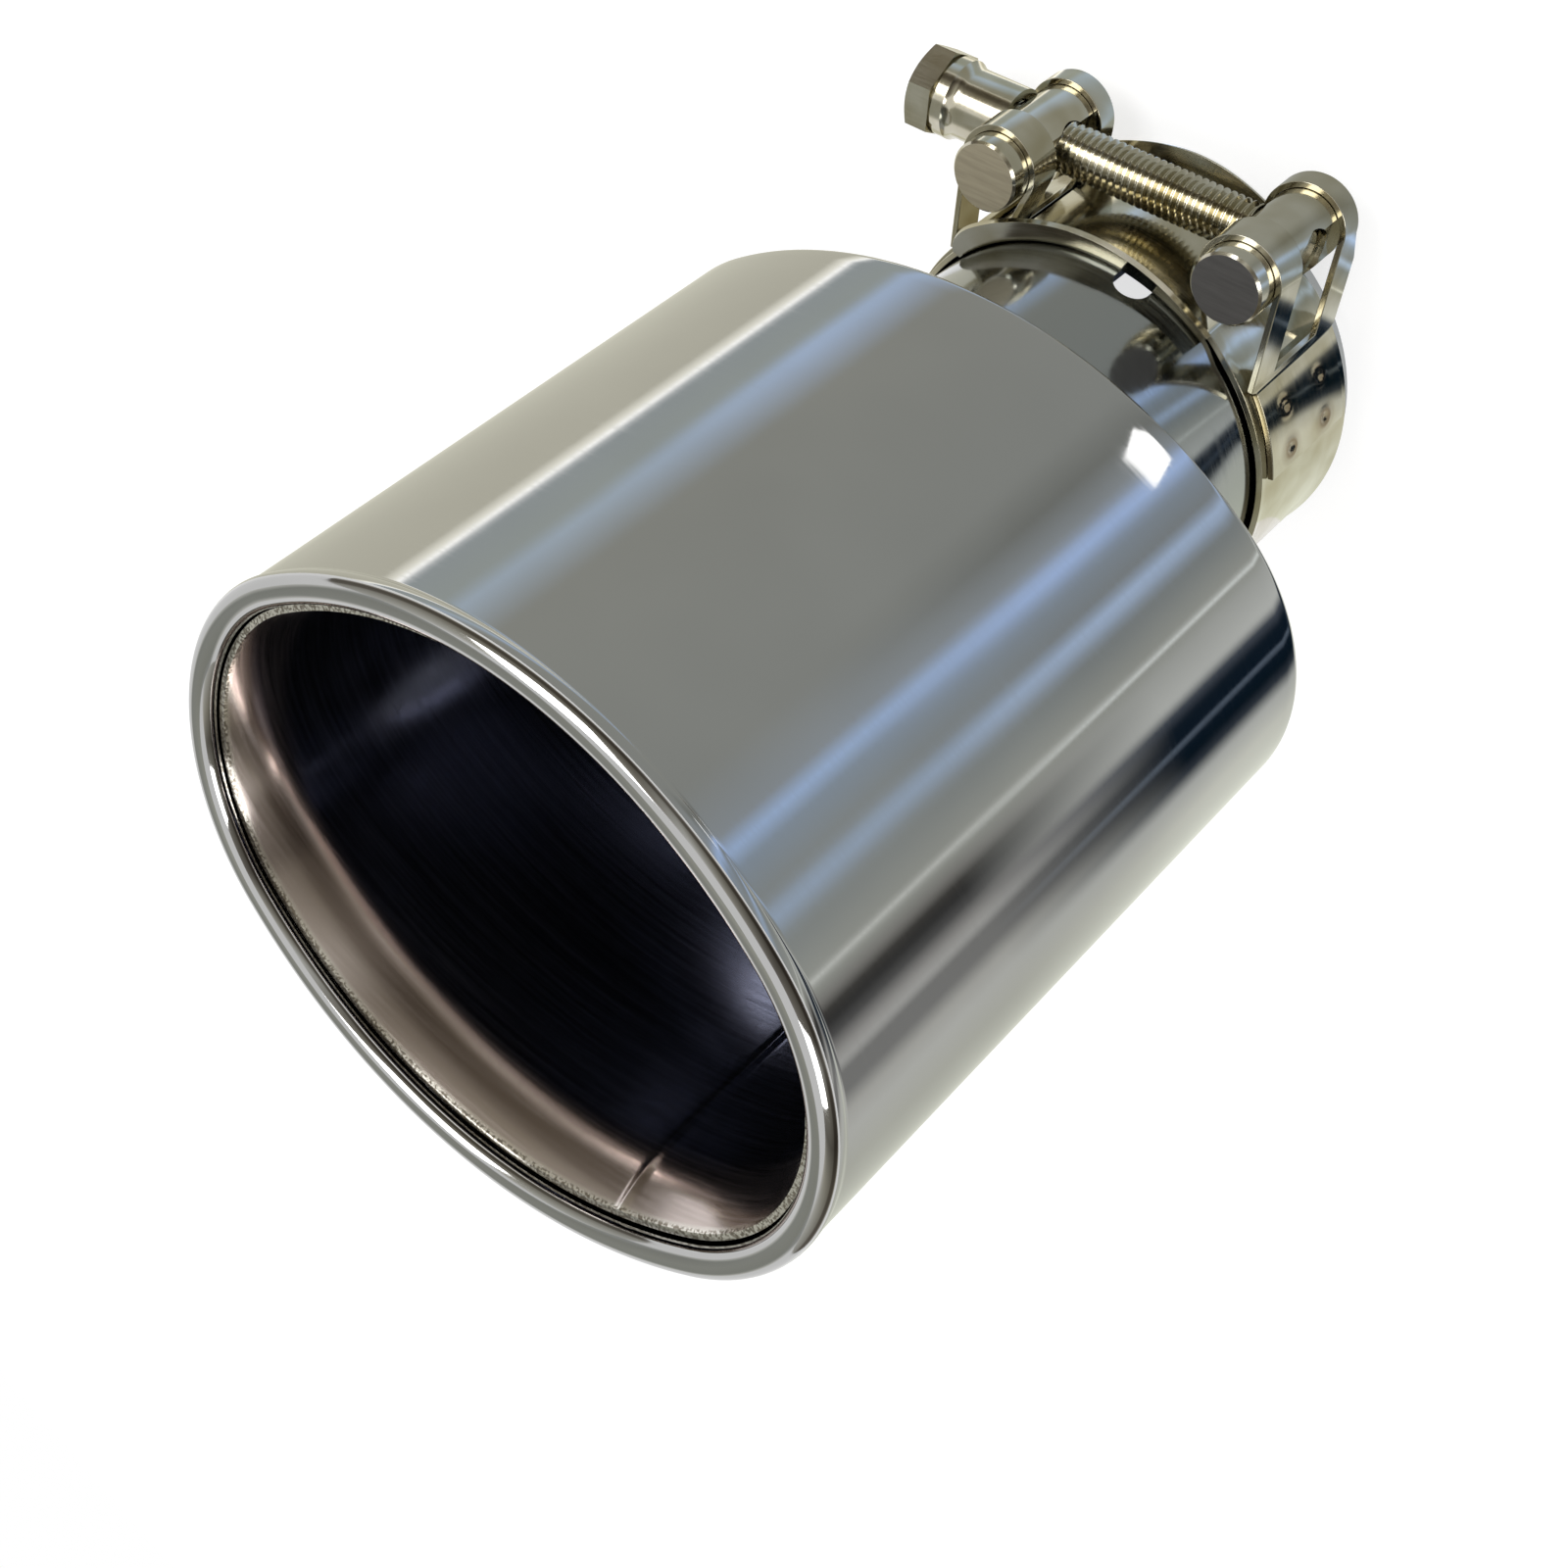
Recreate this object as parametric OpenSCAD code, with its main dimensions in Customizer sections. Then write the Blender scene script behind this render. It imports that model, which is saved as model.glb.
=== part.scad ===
// Oval slant-cut exhaust tip on a slotted inlet neck, with a heavy-duty bolt clamp.
// Millimetres. Z runs along the tip towards the outlet, Y points to the clamp's bolt,
// and the origin is the centre of the inlet end.

/* [Outlet shell] */
// Width of the oval outlet, across its long axis
outlet_w = 123; // [112:1:134]
// Height of the oval outlet, across its short axis
outlet_h = 90; // [84:1:98]
// Radius of the oval's two end arcs
end_r = 37; // [33:0.5:40]
// Length from the flat rear face to the middle of the mouth
tip_len = 105.3; // [90:1:120]
// Angle of the slant-cut mouth
slant = 13.2; // [8:0.2:18]
// Sheet thickness of the shell
shell_t = 1.2; // [0.8:0.1:1.5]
// Outer radius of the edge between wall and rear face
rear_r = 1.7; // [1.6:0.1:4]
// Outer radius of the rolled lip
lip_r = 2.4; // [2:0.1:3]
// How far the rolled lip stands proud of the wall
lip_proud = 0.3; // [0.25:0.05:0.5]
// How far past its top the lip is rolled in
lip_roll = 135; // [100:5:160]

/* [Inner liner] */
// Sheet thickness of the liner
liner_t = 1; // [0.8:0.1:1.2]
// Distance from the shell's outer face to the liner's outer face
liner_inset = 7.4; // [6.5:0.1:9]
// Depth of the flared band below the mouth
flare_depth = 11; // [8:0.5:14]
// Height over which the liner opens from round to oval
cone_len = 38; // [25:1:45]
// Clearance between the liner's flared edge and the rolled lip
liner_seat = 0.3; // [0.2:0.05:0.4]

/* [Inlet neck] */
// Outside diameter of the neck
neck_d = 68; // [67:0.5:69]
// Wall of the neck
neck_t = 1.5; // [1.2:0.1:2]
// Length of the neck below the rear face
neck_len = 60.6; // [58:0.2:66]
// How far the neck runs on inside the shell
neck_in = 10; // [8:0.5:14]
// Width of each slot in the neck
slot_w = 6; // [4:0.5:8]
// Length of each slot from the inlet end
slot_len = 33.4; // [30:0.2:36]
// Number of slots round the neck
slot_n = 4; // [2:1:4]
// Angle of the first slot from the X axis
slot_at = 79; // [74:1:84]
// Running clearance between welded or nested round pieces
nest = 0.15; // [0.1:0.01:0.2]

/* [Clamp band] */
// Thickness of the steel strip
strip_t = 1; // [0.8:0.1:1.2]
// Width of the band where it goes round the neck
band_w = 25.5; // [24:0.5:27]
// Height of the band's rear edge above the inlet end
band_z = 3.2; // [2.9:0.1:4]
// How far each long edge of the band flares out
edge_flare = 0.4; // [0.2:0.1:0.6]
// Width of each flared edge
edge_w = 2.2; // [1.5:0.1:3]
// Width of the loops that hold the trunnions
loop_w = 24; // [23:0.5:25]
// Width of the window in each loop
window_w = 12; // [11.8:0.1:13]
// Width of the welded tail under each loop
tail_w = 21; // [19:0.5:22]
// Angle at which the strip leaves the neck, from the X axis
leave_at = 56; // [54:0.5:57]
// Angle at which each welded tail ends
tail_end = 13; // [8:1:20]
// Inside radius of the strip's bends
bend_r = 1.5; // [1.2:0.1:1.8]
// Diameter of the spot welds
spot_d = 2.4; // [1.5:0.1:3]
// Depth of the spot welds
spot_depth = 0.4; // [0.2:0.05:0.6]
// Spacing of the spot welds along the tip
spot_pitch = 10; // [8:0.5:12]
// Angles of the two rows of spot welds
spot_at = [17.6, 29.2];

/* [Bolt and trunnions] */
// Diameter of the trunnions
trunnion_d = 11.8; // [11.4:0.1:12.2]
// Length of the trunnions
trunnion_len = 31.6; // [30:0.2:31.8]
// Distance between the trunnion axes
trunnion_gap = 43.5; // [42:0.5:45]
// Height of the trunnion axes above the neck's axis
bolt_y = 40.4; // [40.2:0.1:41.4]
// Depth of the milled flats on the trunnions
flat_depth = 1; // [0.6:0.1:1.4]
// Length of the milled flats
flat_len = 13; // [12:0.5:15]
// Thread diameter of the bolt
bolt_d = 8; // [7.6:0.1:8.2]
// Length of the bolt below its head
bolt_len = 65; // [60:1:66]
// Width of the hexagon head across its flats
head_af = 13; // [12:0.5:14]
// Thickness of the head
head_h = 5.3; // [4.5:0.1:6]
// Outside diameter of the spacer sleeve
sleeve_d = 11.6; // [11:0.1:11.6]
// Length of the spacer sleeve
sleeve_len = 12.8; // [10:0.2:15]
// Diameter of the collar at the sleeve's head end
sleeve_collar = 13; // [12.2:0.1:14]
// Radial clearance of the bolt in the plain holes
bolt_slack = 0.1; // [0.06:0.01:0.1]
// Radial clearance of the bolt in the threaded trunnion
thread_slack = 0.05; // [0.03:0.01:0.08]

/* [Bridge plate] */
// Thickness of the bridge plate
bridge_t = 0.9; // [0.7:0.1:1]
// Half the angle that the plate covers under the bolt
bridge_half = 29; // [24:1:29]
// Angle at which the flared edges start, from the X axis
flange_from = 56; // [54:1:60]
// Angle at which the flared edges end
flange_to = 138; // [125:1:142]
// Height of the flared edges
flange_rise = 3.9; // [2.5:0.1:4.2]
// How far the flared edges lean outwards along the tip
flange_lean = 2.2; // [1.5:0.1:2.4]
// Clearance between the plate and the band's edges
bridge_side = 0.3; // [0.2:0.05:0.5]

/* [Hidden] */
$fn = 96;

// Gap between the welded layers of the strip, and how far above its bend the window starts
weld_gap = 0.05;
window_foot = 1;
// How far the bridge plate's base is cut back beside the band
root_cut = 0.15;
// Sides of the oval sheets, and steps along their bends
sides = 72;
edge_steps = 4;
lip_steps = 9;
cone_steps = 6;
flare_steps = 5;
// Steps along the parts of the folded strip
tail_steps = 6;
bend_steps = 3;
wrap_steps = 16;
ring_steps = 36;
blend_steps = 2;

// Semi-axes of the oval and the height of the mouth's middle
half_w = outlet_w/2;
half_h = outlet_h/2;
rear_z = neck_len;
mouth_z = rear_z + tip_len;
neck_r = neck_d/2;
// Where the liner's flared edge ends, from the wall and from the mouth
liner_top = 2*lip_r - lip_proud + liner_seat;
rim_depth = 0.6;

// Clamp: the band's radii, its middle and the trunnions' places
band_in = neck_r + nest;
band_out = band_in + strip_t;
mid_z = band_z + band_w/2;
trunnion_r = trunnion_d/2;
trunnion_x = trunnion_gap/2;
wrap_r = trunnion_r + 0.05;

// First bend: its centre, the direction of the leg that follows and its length
bend1 = (band_out + bend_r)*[cos(leave_at), sin(leave_at)];
to_wrap = [trunnion_x, bolt_y] - bend1;
leg_dir = atan2(to_wrap.y, to_wrap.x) + asin((wrap_r - bend_r)/norm(to_wrap));
// Second bend: where the outer leg meets the band again
bend2_x = trunnion_x + wrap_r + strip_t + bend_r;
bend2_d = band_out + weld_gap + strip_t + bend_r;
bend2_y = sqrt(bend2_d*bend2_d - bend2_x*bend2_x);
tail_at = atan2(bend2_y, bend2_x);
// Radii of the strip's middle on the neck, in the tail, in the bends and round a trunnion
ring_mid = band_in + strip_t/2;
tail_mid = band_out + weld_gap + strip_t/2;
bend_mid = bend_r + strip_t/2;
wrap_mid = wrap_r + strip_t/2;

// Seats along the bolt
sleeve_seat = trunnion_x + trunnion_r - flat_depth;
head_x = sleeve_seat + sleeve_len;

// Radius of the side arcs of an oval with semi-axes a and b and end arcs of radius r
function side_r(a, b, r) = ((a - r)*(a - r) + b*b - r*r)/(2*(b - r));
// Half the angle that each end arc covers
function end_half(a, b, r) = atan2(side_r(a, b, r) - b, a - r);
// Point on the oval, moved inwards, where its outward normal has the angle n
function oval_point(a, b, r, n, inset) =
    let (s = side_r(a, b, r), h = end_half(a, b, r), up = sin(n) >= 0 ? 1 : -1)
    abs(cos(n)) > cos(h)
        ? [sign(cos(n))*(a - r), 0] + (r - inset)*[cos(n), sin(n)]
        : [0, -up*(s - b)] + (s - inset)*[cos(n), sin(n)];

// Ring of points between a circle and the oval: oval_share 0 is the circle
function flat_ring(oval_share, circle_r, inset, z) = [for (i = [0:sides - 1])
    let (n = 360*i/sides,
         q = (1 - oval_share)*circle_r*[cos(n), sin(n)]
             + oval_share*oval_point(half_w, half_h, end_r, n, inset))
    [q.x, q.y, z]];

// Ring of points on the oval that follows the slanted mouth at a given depth below it
function slant_ring(inset, depth) = [for (p = flat_ring(1, 0, inset, mouth_z - depth))
    [p.x, p.y, p.z - tan(slant)*p.y]];

// Ring of points of the rolled lip: a circle of radius r, turned by the angle turn,
// stands square to the slanted plane all along the mouth
function lip_ring(r, turn) = [for (i = [0:sides - 1])
    let (n = 360*i/sides,
         c = oval_point(half_w + lip_proud, half_h + lip_proud, end_r + lip_proud, n, lip_r),
         out = [cos(n), sin(n)*cos(slant), -sin(n)*sin(slant)],
         up = [0, sin(slant), cos(slant)])
    [c.x, c.y, mouth_z - tan(slant)*c.y] + r*(cos(turn)*out/norm(out) + sin(turn)*up)];

// A closed sheet: rings of points go out along one face and back along the other
module sheet(rings) {
    total = len(rings);
    points = [for (ring = rings) for (p = ring) p];
    faces = [for (k = [0:total - 1]) for (i = [0:sides - 1])
        let (a = k*sides + i, b = k*sides + (i + 1)%sides,
             c = ((k + 1)%total)*sides + (i + 1)%sides, d = ((k + 1)%total)*sides + i)
        for (f = [[a, c, b], [a, d, c]]) f];
    polyhedron(points, faces);
}

// One face of the shell, moved in by a sheet thickness or by nothing: from the
// neck's hole over the rear face, the rounded edge and the wall into the rolled lip
function shell_face(in) = concat(
    [flat_ring(0, neck_r + nest, 0, rear_z + in)],
    [for (i = [0:edge_steps]) let (a = 90*i/edge_steps - 90)
        flat_ring(1, 0, rear_r - (rear_r - in)*cos(a), rear_z + rear_r + (rear_r - in)*sin(a))],
    [for (i = [0:lip_steps]) lip_ring(lip_r - in, (90 + lip_roll)*i/lip_steps)]
);

// The outer shell: flat rear face, rounded rear edge, wall and rolled lip
module tip_shell() {
    back = shell_face(shell_t);
    color([0.42, 0.43, 0.44])
        sheet(concat(shell_face(0), [for (k = [len(back) - 1:-1:0]) back[k]]));
}

// One face of the liner, moved in by its thickness or by nothing: a collar on the
// neck, a stretch that opens from round to oval, a wall and the flared band
function liner_face(in) = concat(
    [flat_ring(0, neck_r + nest + liner_t - in, 0, rear_z + shell_t + liner_seat)],
    [for (i = [0:cone_steps]) let (u = i/cone_steps)
        flat_ring(u*u*(3 - 2*u), neck_r + nest + liner_t - in, liner_inset + in,
                  rear_z + neck_in - 1 + u*cone_len)],
    [for (i = [0:flare_steps]) let (u = i/flare_steps)
        slant_ring(liner_inset + in + (liner_top - liner_inset)*u*u, rim_depth + flare_depth*(1 - u))]
);

// The inner liner: it opens from the round neck to the oval mouth and ends in a
// flared band under the rolled lip
module inner_liner() {
    back = liner_face(liner_t);
    color([0.25, 0.26, 0.3])
        sheet(concat(liner_face(0), [for (k = [len(back) - 1:-1:0]) back[k]]));
}

// The inlet neck: a tube with slots that let the clamp squeeze it
module inlet_neck() {
    color([0.4, 0.41, 0.43]) difference() {
        cylinder(r = neck_r, h = neck_len + neck_in);
        translate([0, 0, -1]) cylinder(r = neck_r - neck_t, h = neck_len + neck_in + 2);
        for (i = [0:slot_n - 1]) rotate(slot_at + i*360/slot_n) {
            translate([neck_r - neck_t - 3, -slot_w/2, -1])
                cube([neck_t + 6, slot_w, slot_len - slot_w/2 + 1]);
            translate([neck_r - neck_t - 3, 0, slot_len - slot_w/2]) rotate([0, 90, 0])
                cylinder(d = slot_w, h = neck_t + 6);
        }
    }
}

// A station of the band's strip: its middle, the angle of its right-hand normal, its
// width, how far its edges flare out and whether the window is open after it
function station(mid, normal, width, flare, open) = [mid.x, mid.y, normal, width, flare, open];

// Stations of one half of the strip: along the welded tail, up the outer leg, round
// the trunnion, down the inner leg and half way round the neck
half_strip = concat(
    [for (i = [0:tail_steps]) let (a = tail_end + (tail_at - tail_end)*i/tail_steps)
        station(tail_mid*[cos(a), sin(a)], a, tail_w, 0, false)],
    [for (i = [1:bend_steps]) let (u = i/bend_steps, a = 180 + tail_at*(1 - u))
        station([bend2_x, bend2_y] + bend_mid*[cos(a), sin(a)], a - 180,
                tail_w + (loop_w - tail_w)*u*u, 0, false)],
    [station([trunnion_x + wrap_mid, bend2_y + window_foot], 0, loop_w, 0, true)],
    [for (i = [0:wrap_steps]) let (a = (90 + leg_dir)*i/wrap_steps)
        station([trunnion_x, bolt_y] + wrap_mid*[cos(a), sin(a)], a, loop_w, 0, true)],
    [for (i = [0:bend_steps]) let (a = 90 + leg_dir + (90 + leave_at - leg_dir)*i/bend_steps)
        station(bend1 + bend_mid*[cos(a), sin(a)], a, loop_w, 0, false)],
    [for (i = [1:ring_steps]) let (u = min(1, i/blend_steps), a = leave_at - (90 + leave_at)*i/ring_steps)
        station(ring_mid*[cos(a), sin(a)], a - 180, loop_w + (band_w - loop_w)*u, edge_flare*u, false)]
);

// All stations: the other half is the mirror image, from the middle on
strip = concat(half_strip, [for (k = [len(half_strip) - 2:-1:0]) let (s = half_strip[k])
    [-s[0], s[1], 180 - s[2], s[3], s[4], k > 0 && half_strip[k - 1][5]]]);

// The strip as one closed sheet with six corners across each face: its two edges,
// the lines where they start to flare and the two sides of the window
module folded_strip() {
    last = len(strip) - 1;
    points = [for (s = strip) for (face = [1, -1]) for (level = [-3:3]) if (level != 0)
        let (z = abs(level) == 3 ? s[3]/2 : abs(level) == 2 ? s[3]/2 - edge_w : window_w/2,
             off = face*strip_t/2 - (abs(level) == 3 ? s[4] : 0))
        [s[0] + off*cos(s[2]), s[1] + off*sin(s[2]), sign(level)*z]];
    function right(k, j) = 12*k + j;
    function left(k, j) = 12*k + 6 + j;
    quads = [
        for (k = [0:last - 1]) for (j = [0:4]) if (j != 2 || !strip[k][5])
            for (q = [[right(k, j), right(k, j + 1), right(k + 1, j + 1), right(k + 1, j)],
                      [left(k + 1, j), left(k + 1, j + 1), left(k, j + 1), left(k, j)]]) q,
        for (k = [0:last - 1]) for (j = strip[k][5] ? [5, 2] : [5])
            [right(k, j), left(k, j), left(k + 1, j), right(k + 1, j)],
        for (k = [0:last - 1]) for (j = strip[k][5] ? [0, 3] : [0])
            [right(k + 1, j), left(k + 1, j), left(k, j), right(k, j)],
        for (j = [0:4]) for (q = [[left(0, j), left(0, j + 1), right(0, j + 1), right(0, j)],
                                  [right(last, j), right(last, j + 1), left(last, j + 1), left(last, j)]]) q,
        for (k = [1:last - 1]) if (strip[k][5] && !strip[k - 1][5])
            [right(k, 2), right(k, 3), left(k, 3), left(k, 2)],
        for (k = [1:last - 1]) if (!strip[k][5] && strip[k - 1][5])
            [left(k, 2), left(k, 3), right(k, 3), right(k, 2)]
    ];
    polyhedron(points, [for (q = quads) for (f = [[q[0], q[1], q[2]], [q[0], q[2], q[3]]]) f]);
}

// The band: one strip round the neck with flared edges, folded back at each end
// over a trunnion and spot-welded to itself
module clamp_band() {
    color([0.75, 0.72, 0.66]) translate([0, 0, mid_z]) difference() {
        folded_strip();
        for (side = [0, 1]) mirror([side, 0, 0]) for (a = spot_at) for (z = [-1, 1])
            rotate(a) translate([tail_mid + strip_t/2 - spot_depth, 0, z*spot_pitch/2]) rotate([0, 90, 0])
                cylinder(d = spot_d, h = 2, $fn = 24);
    }
}

// The bridge plate: it closes the gap under the bolt, and its long edges flare out
// and run on beside the band
module bridge_plate() {
    base_r = neck_r + nest/2;
    half = band_w/2 + bridge_side;
    lip = [flange_rise + bridge_t, half + flange_lean];
    color([0.7, 0.69, 0.66]) translate([0, 0, mid_z]) difference() {
        rotate(flange_from) rotate_extrude(angle = flange_to - flange_from) translate([base_r, 0])
            polygon([[0, -half - bridge_t], [lip.x - bridge_t/2, -lip.y], [lip.x, bridge_t/2 - lip.y],
                     [bridge_t, -half], [bridge_t, half], [lip.x, lip.y - bridge_t/2],
                     [lip.x - bridge_t/2, lip.y], [0, half + bridge_t]]);
        for (gap = [[flange_from - 1, 90 - bridge_half], [90 + bridge_half, flange_to + 1]])
            translate([0, 0, -half - root_cut]) linear_extrude(2*(half + root_cut))
                polygon([[0, 0], for (a = gap) 2*base_r*[cos(a), sin(a)]]);
    }
}

// A trunnion: a round bar along the tip with chamfered ends, a hole for the bolt
// and flats milled where the hole comes out
module trunnion(hole_r) {
    chamfer = 0.4;
    difference() {
        rotate_extrude() polygon([[0, -trunnion_len/2], [trunnion_r - chamfer, -trunnion_len/2],
                                  [trunnion_r, chamfer - trunnion_len/2], [trunnion_r, trunnion_len/2 - chamfer],
                                  [trunnion_r - chamfer, trunnion_len/2], [0, trunnion_len/2]]);
        rotate([0, 90, 0]) cylinder(r = hole_r, h = 2*trunnion_d, center = true);
        for (side = [-1, 1]) translate([side*(2*trunnion_r - flat_depth), 0, 0])
            cube([trunnion_d, trunnion_d, flat_len], center = true);
    }
}

// Plain trunnion on the head side
module plain_trunnion() {
    color([0.72, 0.69, 0.62]) translate([-trunnion_x, bolt_y, mid_z]) trunnion(bolt_d/2 + bolt_slack);
}

// Threaded trunnion that the bolt screws into
module threaded_trunnion() {
    color([0.6, 0.58, 0.55]) translate([trunnion_x, bolt_y, mid_z]) trunnion(bolt_d/2 + thread_slack);
}

// Hexagon bolt along X; its fine thread is left off the shank
module clamp_bolt() {
    washer_h = 0.4;
    tip_chamfer = 0.8;
    color([0.78, 0.74, 0.64]) translate([-head_x, bolt_y, mid_z]) rotate([0, 90, 0]) {
        rotate_extrude() polygon([[0, -washer_h], [head_af*0.46, -washer_h], [head_af*0.46, 0], [bolt_d/2, 0],
                                  [bolt_d/2, bolt_len - tip_chamfer],
                                  [bolt_d/2 - tip_chamfer, bolt_len], [0, bolt_len]]);
        intersection() {
            rotate(30) translate([0, 0, -head_h]) cylinder(d = head_af/cos(30), h = head_h - washer_h, $fn = 6);
            translate([0, 0, -head_h]) cylinder(r1 = head_af*0.47, r2 = head_af*0.47 + head_h*2, h = head_h);
        }
    }
}

// Spacer sleeve between the bolt's head and the plain trunnion
module spacer_sleeve() {
    collar_h = 1;
    sweep = 3;
    sleeve_r = sleeve_d/2;
    color([0.78, 0.73, 0.62]) translate([-head_x, bolt_y, mid_z]) rotate([0, 90, 0]) difference() {
        rotate_extrude() difference() {
            union() {
                square([sleeve_r, sleeve_len]);
                square([sleeve_collar/2, collar_h]);
                square([sleeve_collar/2, collar_h + sweep]);
            }
            translate([sleeve_r + sweep, collar_h + sweep]) circle(sweep);
        }
        translate([0, 0, -1]) cylinder(r = bolt_d/2 + bolt_slack, h = sleeve_len + 2);
    }
}

tip_shell();
inner_liner();
inlet_neck();
clamp_band();
bridge_plate();
plain_trunnion();
threaded_trunnion();
clamp_bolt();
spacer_sleeve();
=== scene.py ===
"""Looks of an oval slant-cut exhaust tip with its bolt clamp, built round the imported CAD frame.

Z runs along the tip towards the outlet, Y points to the clamp's bolt, and the origin is
the centre of the inlet end. All lengths are in metres unless a name ends in _mm.
"""

import math

import bpy
from mathutils import Matrix, Vector


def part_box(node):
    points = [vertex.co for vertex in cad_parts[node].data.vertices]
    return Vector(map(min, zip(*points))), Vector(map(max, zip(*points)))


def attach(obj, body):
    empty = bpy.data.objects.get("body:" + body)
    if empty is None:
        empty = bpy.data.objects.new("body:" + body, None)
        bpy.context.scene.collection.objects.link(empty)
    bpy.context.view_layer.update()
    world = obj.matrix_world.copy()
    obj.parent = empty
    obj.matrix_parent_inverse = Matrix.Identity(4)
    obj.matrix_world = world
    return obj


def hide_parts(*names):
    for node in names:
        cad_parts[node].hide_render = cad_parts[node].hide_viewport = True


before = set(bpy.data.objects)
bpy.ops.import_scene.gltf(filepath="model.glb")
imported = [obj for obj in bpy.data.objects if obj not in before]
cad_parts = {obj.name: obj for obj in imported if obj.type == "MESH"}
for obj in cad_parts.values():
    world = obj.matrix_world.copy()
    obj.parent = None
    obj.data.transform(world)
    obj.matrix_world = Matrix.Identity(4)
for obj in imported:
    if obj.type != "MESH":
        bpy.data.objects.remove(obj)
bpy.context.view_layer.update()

bl_info = {
    "name": "Exhaust tip",
    "version": (1, 0, 0),
    "blender": (4, 5, 0),
    "location": "3D View > Sidebar > Exhaust tip",
    "description": "Oval slant-cut exhaust tip with a bolt clamp, and the studio round it",
    "category": "Add Mesh",
}

MM = 0.001
SHELL_LOW, SHELL_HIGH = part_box("tip_shell")
NECK_LOW, NECK_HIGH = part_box("inlet_neck")
BAND_LOW, BAND_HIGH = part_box("clamp_band")
BRIDGE_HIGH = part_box("bridge_plate")[1]
TRUNNION_LOW, TRUNNION_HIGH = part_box("threaded_trunnion")
BOLT_LOW, BOLT_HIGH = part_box("clamp_bolt")


# Properties

def length(name, description, default, precision=5):
    """A length property in metres."""
    return bpy.props.FloatProperty(name=name, description=description, default=default,
                                   unit="LENGTH", precision=precision)


def angle(name, description, degrees):
    """An angle property, given in degrees."""
    return bpy.props.FloatProperty(name=name, description=description,
                                   default=math.radians(degrees), subtype="ANGLE")


def linear(hex_colour):
    """The linear RGB of an sRGB hex colour such as #8a8c88."""
    parts = [int(hex_colour[i:i + 2], 16) / 255 for i in (1, 3, 5)]
    return tuple(p / 12.92 if p <= 0.04045 else ((p + 0.055) / 1.055) ** 2.4 for p in parts)


def colour(name, description, hex_colour):
    """A colour property, given as an sRGB hex value."""
    return bpy.props.FloatVectorProperty(name=name, description=description, subtype="COLOR",
                                         default=linear(hex_colour), min=0, max=1)


class TipShape(bpy.types.PropertyGroup):
    """Sizes of the shell, the liner and the neck"""
    lip_proud: length("Lip proud", "How far the rolled lip stands proud of the wall", 0.3 * MM)
    end_r: length("End radius", "Radius of the oval's two end arcs", 37 * MM)
    slant: angle("Slant", "Angle of the slant-cut mouth", 13.2)
    tip_len: length("Length", "From the rear face to the middle of the mouth", 105.3 * MM)
    shell_t: length("Shell thickness", "Sheet thickness of the shell", 1.2 * MM)
    rear_r: length("Rear edge", "Outer radius between the wall and the rear face", 1.7 * MM)
    lip_r: length("Lip radius", "Outer radius of the rolled lip", 2.4 * MM)
    lip_roll: angle("Lip roll", "How far past its top the lip is rolled in", 135)
    liner_t: length("Liner thickness", "Sheet thickness of the liner", 1 * MM)
    liner_inset: length("Liner inset", "From the shell's outer face to the liner's", 7.4 * MM)
    flare_depth: length("Flare depth", "Depth of the flared band below the mouth", 11 * MM)
    rim_depth: length("Rim depth", "Depth of the flared band's edge below the mouth", 0.6 * MM)
    cone_len: length("Cone length", "Height over which the liner turns from round to oval", 38 * MM)
    seam_at: angle("Seam place", "Direction of the wall that carries the liner's seam", -64.3)
    seam_w: length("Seam width", "Width of the liner's weld seam", 0.7 * MM)
    seam_h: length("Seam height", "How far the liner's weld seam stands in", 0.3 * MM)
    neck_t: length("Neck wall", "Wall of the inlet neck", 1.5 * MM)
    neck_in: length("Neck inside", "How far the neck runs on inside the shell", 10 * MM)
    slot_w: length("Slot width", "Width of the slots in the neck", 6 * MM)
    slot_len: length("Slot length", "Length of the slots in the neck", 33.4 * MM)
    slot_at: angle("Slot place", "Angle of the first slot from the X axis", 79)
    clearance: length("Clearance", "Clearance between nested round pieces", 0.15 * MM)


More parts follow.
